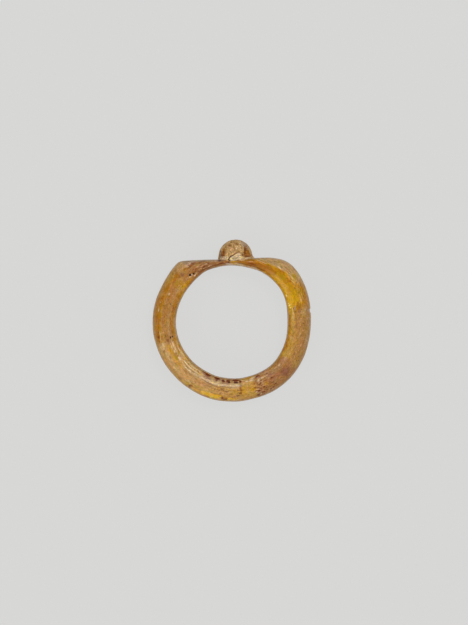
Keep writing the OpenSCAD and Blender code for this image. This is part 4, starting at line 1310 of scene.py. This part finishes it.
def knob_material(settings):
    """A weathered drop: a beige-brown film with pits and stains, glossy amber where it is gone, and painted
    glints and shade.
    """
    material, tree, shader = new_glass("weathered_drop", transmission=0.12, subsurface=0.35)
    vector = tree.add("ShaderNodeTexCoord").outputs["Object"]
    specked, grime_and_shade = tree.layer("specked"), tree.layer("grime_and_shade")
    weather = tree.group("Weathering", {"Vector": vector, "Size": 0.7, "Level": 0.57, "Contrast": 1.35})
    film, grain = weather["Tone"], weather["Grain"]
    base = tree.ramp(film, [
        (0.10, KNOB_DEEP),
        (0.40, KNOB_DULL),
        (0.65, settings.film),
        (0.90, KNOB_PALE),
    ])
    bare = torn_layer(tree, "clear", grain, 0.25, 0.75, CLEAR_TEAR)
    base = tree.cover(base, bare, settings.glass)
    base = add_overlays(tree, WASHES, base, grain, WASH_TEAR)
    pits = tree.group("Specks", {
        "Vector": vector, "Spacing": 0.22, "Speck": 0.34, "Crowding": tree.times(specked, 0.75)})["Specks"]
    base = tree.cover(base, tree.times(pits, 0.50), KNOB_PIT)
    mottle = tree.group("Fine mottle", {"Vector": vector, "Size": 0.16, "Contrast": 0.60})
    base = tree.add("ShaderNodeHueSaturation", {
        "Value": mottle["Lightness"], "Saturation": mottle["Strength"], "Color": base}).outputs["Color"]
    base = add_overlays(tree, SPOTS, base, grain, SPOT_TEAR)
    rough = tree.plus(tree.spread(bare, 0.0, 1.0, 0.58, 0.28), tree.times(grime_and_shade, 0.4))
    coat = tree.minus(tree.spread(bare, 0.0, 1.0, 0.0, 0.15), grime_and_shade, clamp=True)
    height = tree.minus(grain, tree.times(pits, 0.5))
    join_surface(tree, shader, base, rough, coat, height)
    return material


# Height of floor that the camera's frame takes in, and the middle of the frame
FRAME_HEIGHT = 85.27 * MM
VIEW_MIDDLE = (0.16 * MM, 1.27 * MM)
SENSOR = 36.0
CLIP_NEAR = 0.01
CLIP_FAR = 5.0
FLOOR_REACH = 1.2
FLOOR_CORNERS = 96
# How much light of its own the floor shows the camera, how much it throws on the ring, and the share of
# its colour that other light finds
FLOOR_SEEN = 0.93
FLOOR_BOUNCE = 0.62
FLOOR_TINT = 0.07
SKY_STRENGTH = 0.86
SKY_COLOUR = (1.0, 0.99, 0.97)
# Square soft lights that look at the ring
Lamp = namedtuple("Lamp", "name place size power colour")
LAMPS = [
    Lamp("key", (0.10, 0.11, 0.34), 0.08, 0.40, (1.0, 0.98, 0.95)),
    Lamp("fill", (-0.22, -0.20, 0.26), 0.30, 0.42, (1.0, 0.99, 0.97)),
]


def build_floor(settings):
    """A wide pale floor that gives off much of its own light, so that the ring throws hardly a shadow."""
    mesh = bpy.data.meshes.new("studio_floor")
    turns = [2 * math.pi * k / FLOOR_CORNERS for k in range(FLOOR_CORNERS)]
    rim = [(FLOOR_REACH * math.cos(turn), FLOOR_REACH * math.sin(turn), HOOP_LOW.z) for turn in turns]
    mesh.from_pydata(rim, [], [list(range(FLOOR_CORNERS))])
    material = bpy.data.materials.new("pale_floor")
    material.use_nodes = True
    tree = Tree(material.node_tree)
    tree.nodes.clear()
    colour = tuple(settings.floor_colour)

    def surface(own_light):
        return tree.add("ShaderNodeBsdfPrincipled", {
            "Base Color": opaque([FLOOR_TINT * part for part in colour]), "Roughness": 0.9,
            "Specular IOR Level": 0.0, "Emission Color": opaque(colour),
            "Emission Strength": own_light}).outputs[0]

    is_seen = tree.add("ShaderNodeLightPath").outputs["Is Camera Ray"]
    mixed = tree.add("ShaderNodeMixShader", {0: is_seen, 1: surface(FLOOR_BOUNCE), 2: surface(FLOOR_SEEN)})
    tree.add("ShaderNodeOutputMaterial", {"Surface": mixed.outputs[0]})
    mesh.materials.append(material)
    floor = bpy.data.objects.new("studio_floor", mesh)
    bpy.context.scene.collection.objects.link(floor)


def build_world(settings):
    """A studio lit from all round at middle height: dark at the horizon and dim straight above."""
    world = bpy.data.worlds.new("studio")
    world.use_nodes = True
    tree = Tree(world.node_tree)
    tree.nodes.clear()
    vector = tree.add("ShaderNodeTexCoord").outputs["Generated"]
    up = tree.add("ShaderNodeSeparateXYZ", {"Vector": vector}).outputs["Z"]
    from_horizon = tree.spread(up, 0.05, 0.50, 0.16, 1.0)
    to_zenith = tree.spread(up, 0.72, 0.97, 1.0, 0.30)
    sky = tree.times(tree.times(from_horizon, to_zenith), SKY_STRENGTH)
    light = tree.add("ShaderNodeBackground", {"Color": opaque(SKY_COLOUR), "Strength": sky})
    seen = tree.add("ShaderNodeBackground", {"Color": opaque(settings.floor_colour), "Strength": 1.0})
    is_seen = tree.add("ShaderNodeLightPath").outputs["Is Camera Ray"]
    mixed = tree.add("ShaderNodeMixShader", {0: is_seen, 1: light.outputs[0], 2: seen.outputs[0]})
    tree.add("ShaderNodeOutputWorld", {"Surface": mixed.outputs[0]})
    bpy.context.scene.world = world


def add_lamp(lamp):
    data = bpy.data.lights.new(lamp.name, "AREA")
    data.shape = "SQUARE"
    data.size = lamp.size
    data.energy = lamp.power
    data.color = lamp.colour
    light = bpy.data.objects.new(lamp.name, data)
    light.location = lamp.place
    light.rotation_mode = "QUATERNION"
    light.rotation_quaternion = (-Vector(lamp.place)).to_track_quat("-Z", "Y")
    bpy.context.scene.collection.objects.link(light)


def build_camera(settings):
    """The camera looks straight down the finger's axis."""
    data = bpy.data.cameras.new("camera")
    data.lens = settings.lens
    data.sensor_width = SENSOR
    data.clip_start = CLIP_NEAR
    data.clip_end = CLIP_FAR
    camera = bpy.data.objects.new("camera", data)
    camera.location = (*VIEW_MIDDLE, FRAME_HEIGHT * settings.lens / SENSOR)
    bpy.context.scene.collection.objects.link(camera)
    bpy.context.scene.camera = camera


class RING_OT_build_hoop(bpy.types.Operator):
    """Builds the glass hoop in place of its solid"""

    bl_idname = "glass_ring.build_hoop"
    bl_label = "Build hoop"

    def execute(self, context):
        piece = build_hoop(context.scene.glass_ring_hoop)
        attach(piece, BODY)
        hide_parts("hoop")
        return {"FINISHED"}


class RING_OT_build_knob(bpy.types.Operator):
    """Builds the drop of glass in place of its solid"""

    bl_idname = "glass_ring.build_knob"
    bl_label = "Build drop"

    def execute(self, context):
        piece = build_knob(context.scene.glass_ring_knob)
        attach(piece, BODY)
        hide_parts("knob")
        return {"FINISHED"}


class RING_OT_build_stage(bpy.types.Operator):
    """Builds the floor, the lights and the camera"""

    bl_idname = "glass_ring.build_stage"
    bl_label = "Build stage"

    def execute(self, context):
        settings = context.scene.glass_ring_stage
        build_floor(settings)
        build_world(settings)
        for lamp in LAMPS:
            add_lamp(lamp)
        build_camera(settings)
        context.scene.view_settings.view_transform = "Standard"
        return {"FINISHED"}


class RING_PT_panel(bpy.types.Panel):
    """Lists what builds the ring"""

    bl_idname = "RING_PT_panel"
    bl_label = "Glass ring"
    bl_space_type = "VIEW_3D"
    bl_region_type = "UI"
    bl_category = "Glass ring"

    def draw(self, context):
        scene = context.scene
        for operator in (RING_OT_build_stage, RING_OT_build_hoop, RING_OT_build_knob):
            self.layout.operator(operator.bl_idname)
        for settings in (scene.glass_ring_hoop, scene.glass_ring_knob, scene.glass_ring_stage):
            for name in settings.__annotations__:
                self.layout.prop(settings, name)


SETTINGS = {
    "glass_ring_hoop": RingHoopSettings,
    "glass_ring_knob": RingKnobSettings,
    "glass_ring_stage": RingStageSettings,
}
CLASSES = (*SETTINGS.values(), RING_OT_build_hoop, RING_OT_build_knob, RING_OT_build_stage, RING_PT_panel)


def register():
    for each in CLASSES:
        bpy.utils.register_class(each)
    for name, group in SETTINGS.items():
        setattr(bpy.types.Scene, name, bpy.props.PointerProperty(type=group))


def unregister():
    for name in SETTINGS:
        delattr(bpy.types.Scene, name)
    for each in reversed(CLASSES):
        bpy.utils.unregister_class(each)


def main():
    register()
    bpy.ops.glass_ring.build_stage()
    bpy.ops.glass_ring.build_hoop()
    bpy.ops.glass_ring.build_knob()


if __name__ == "__main__":
    main()
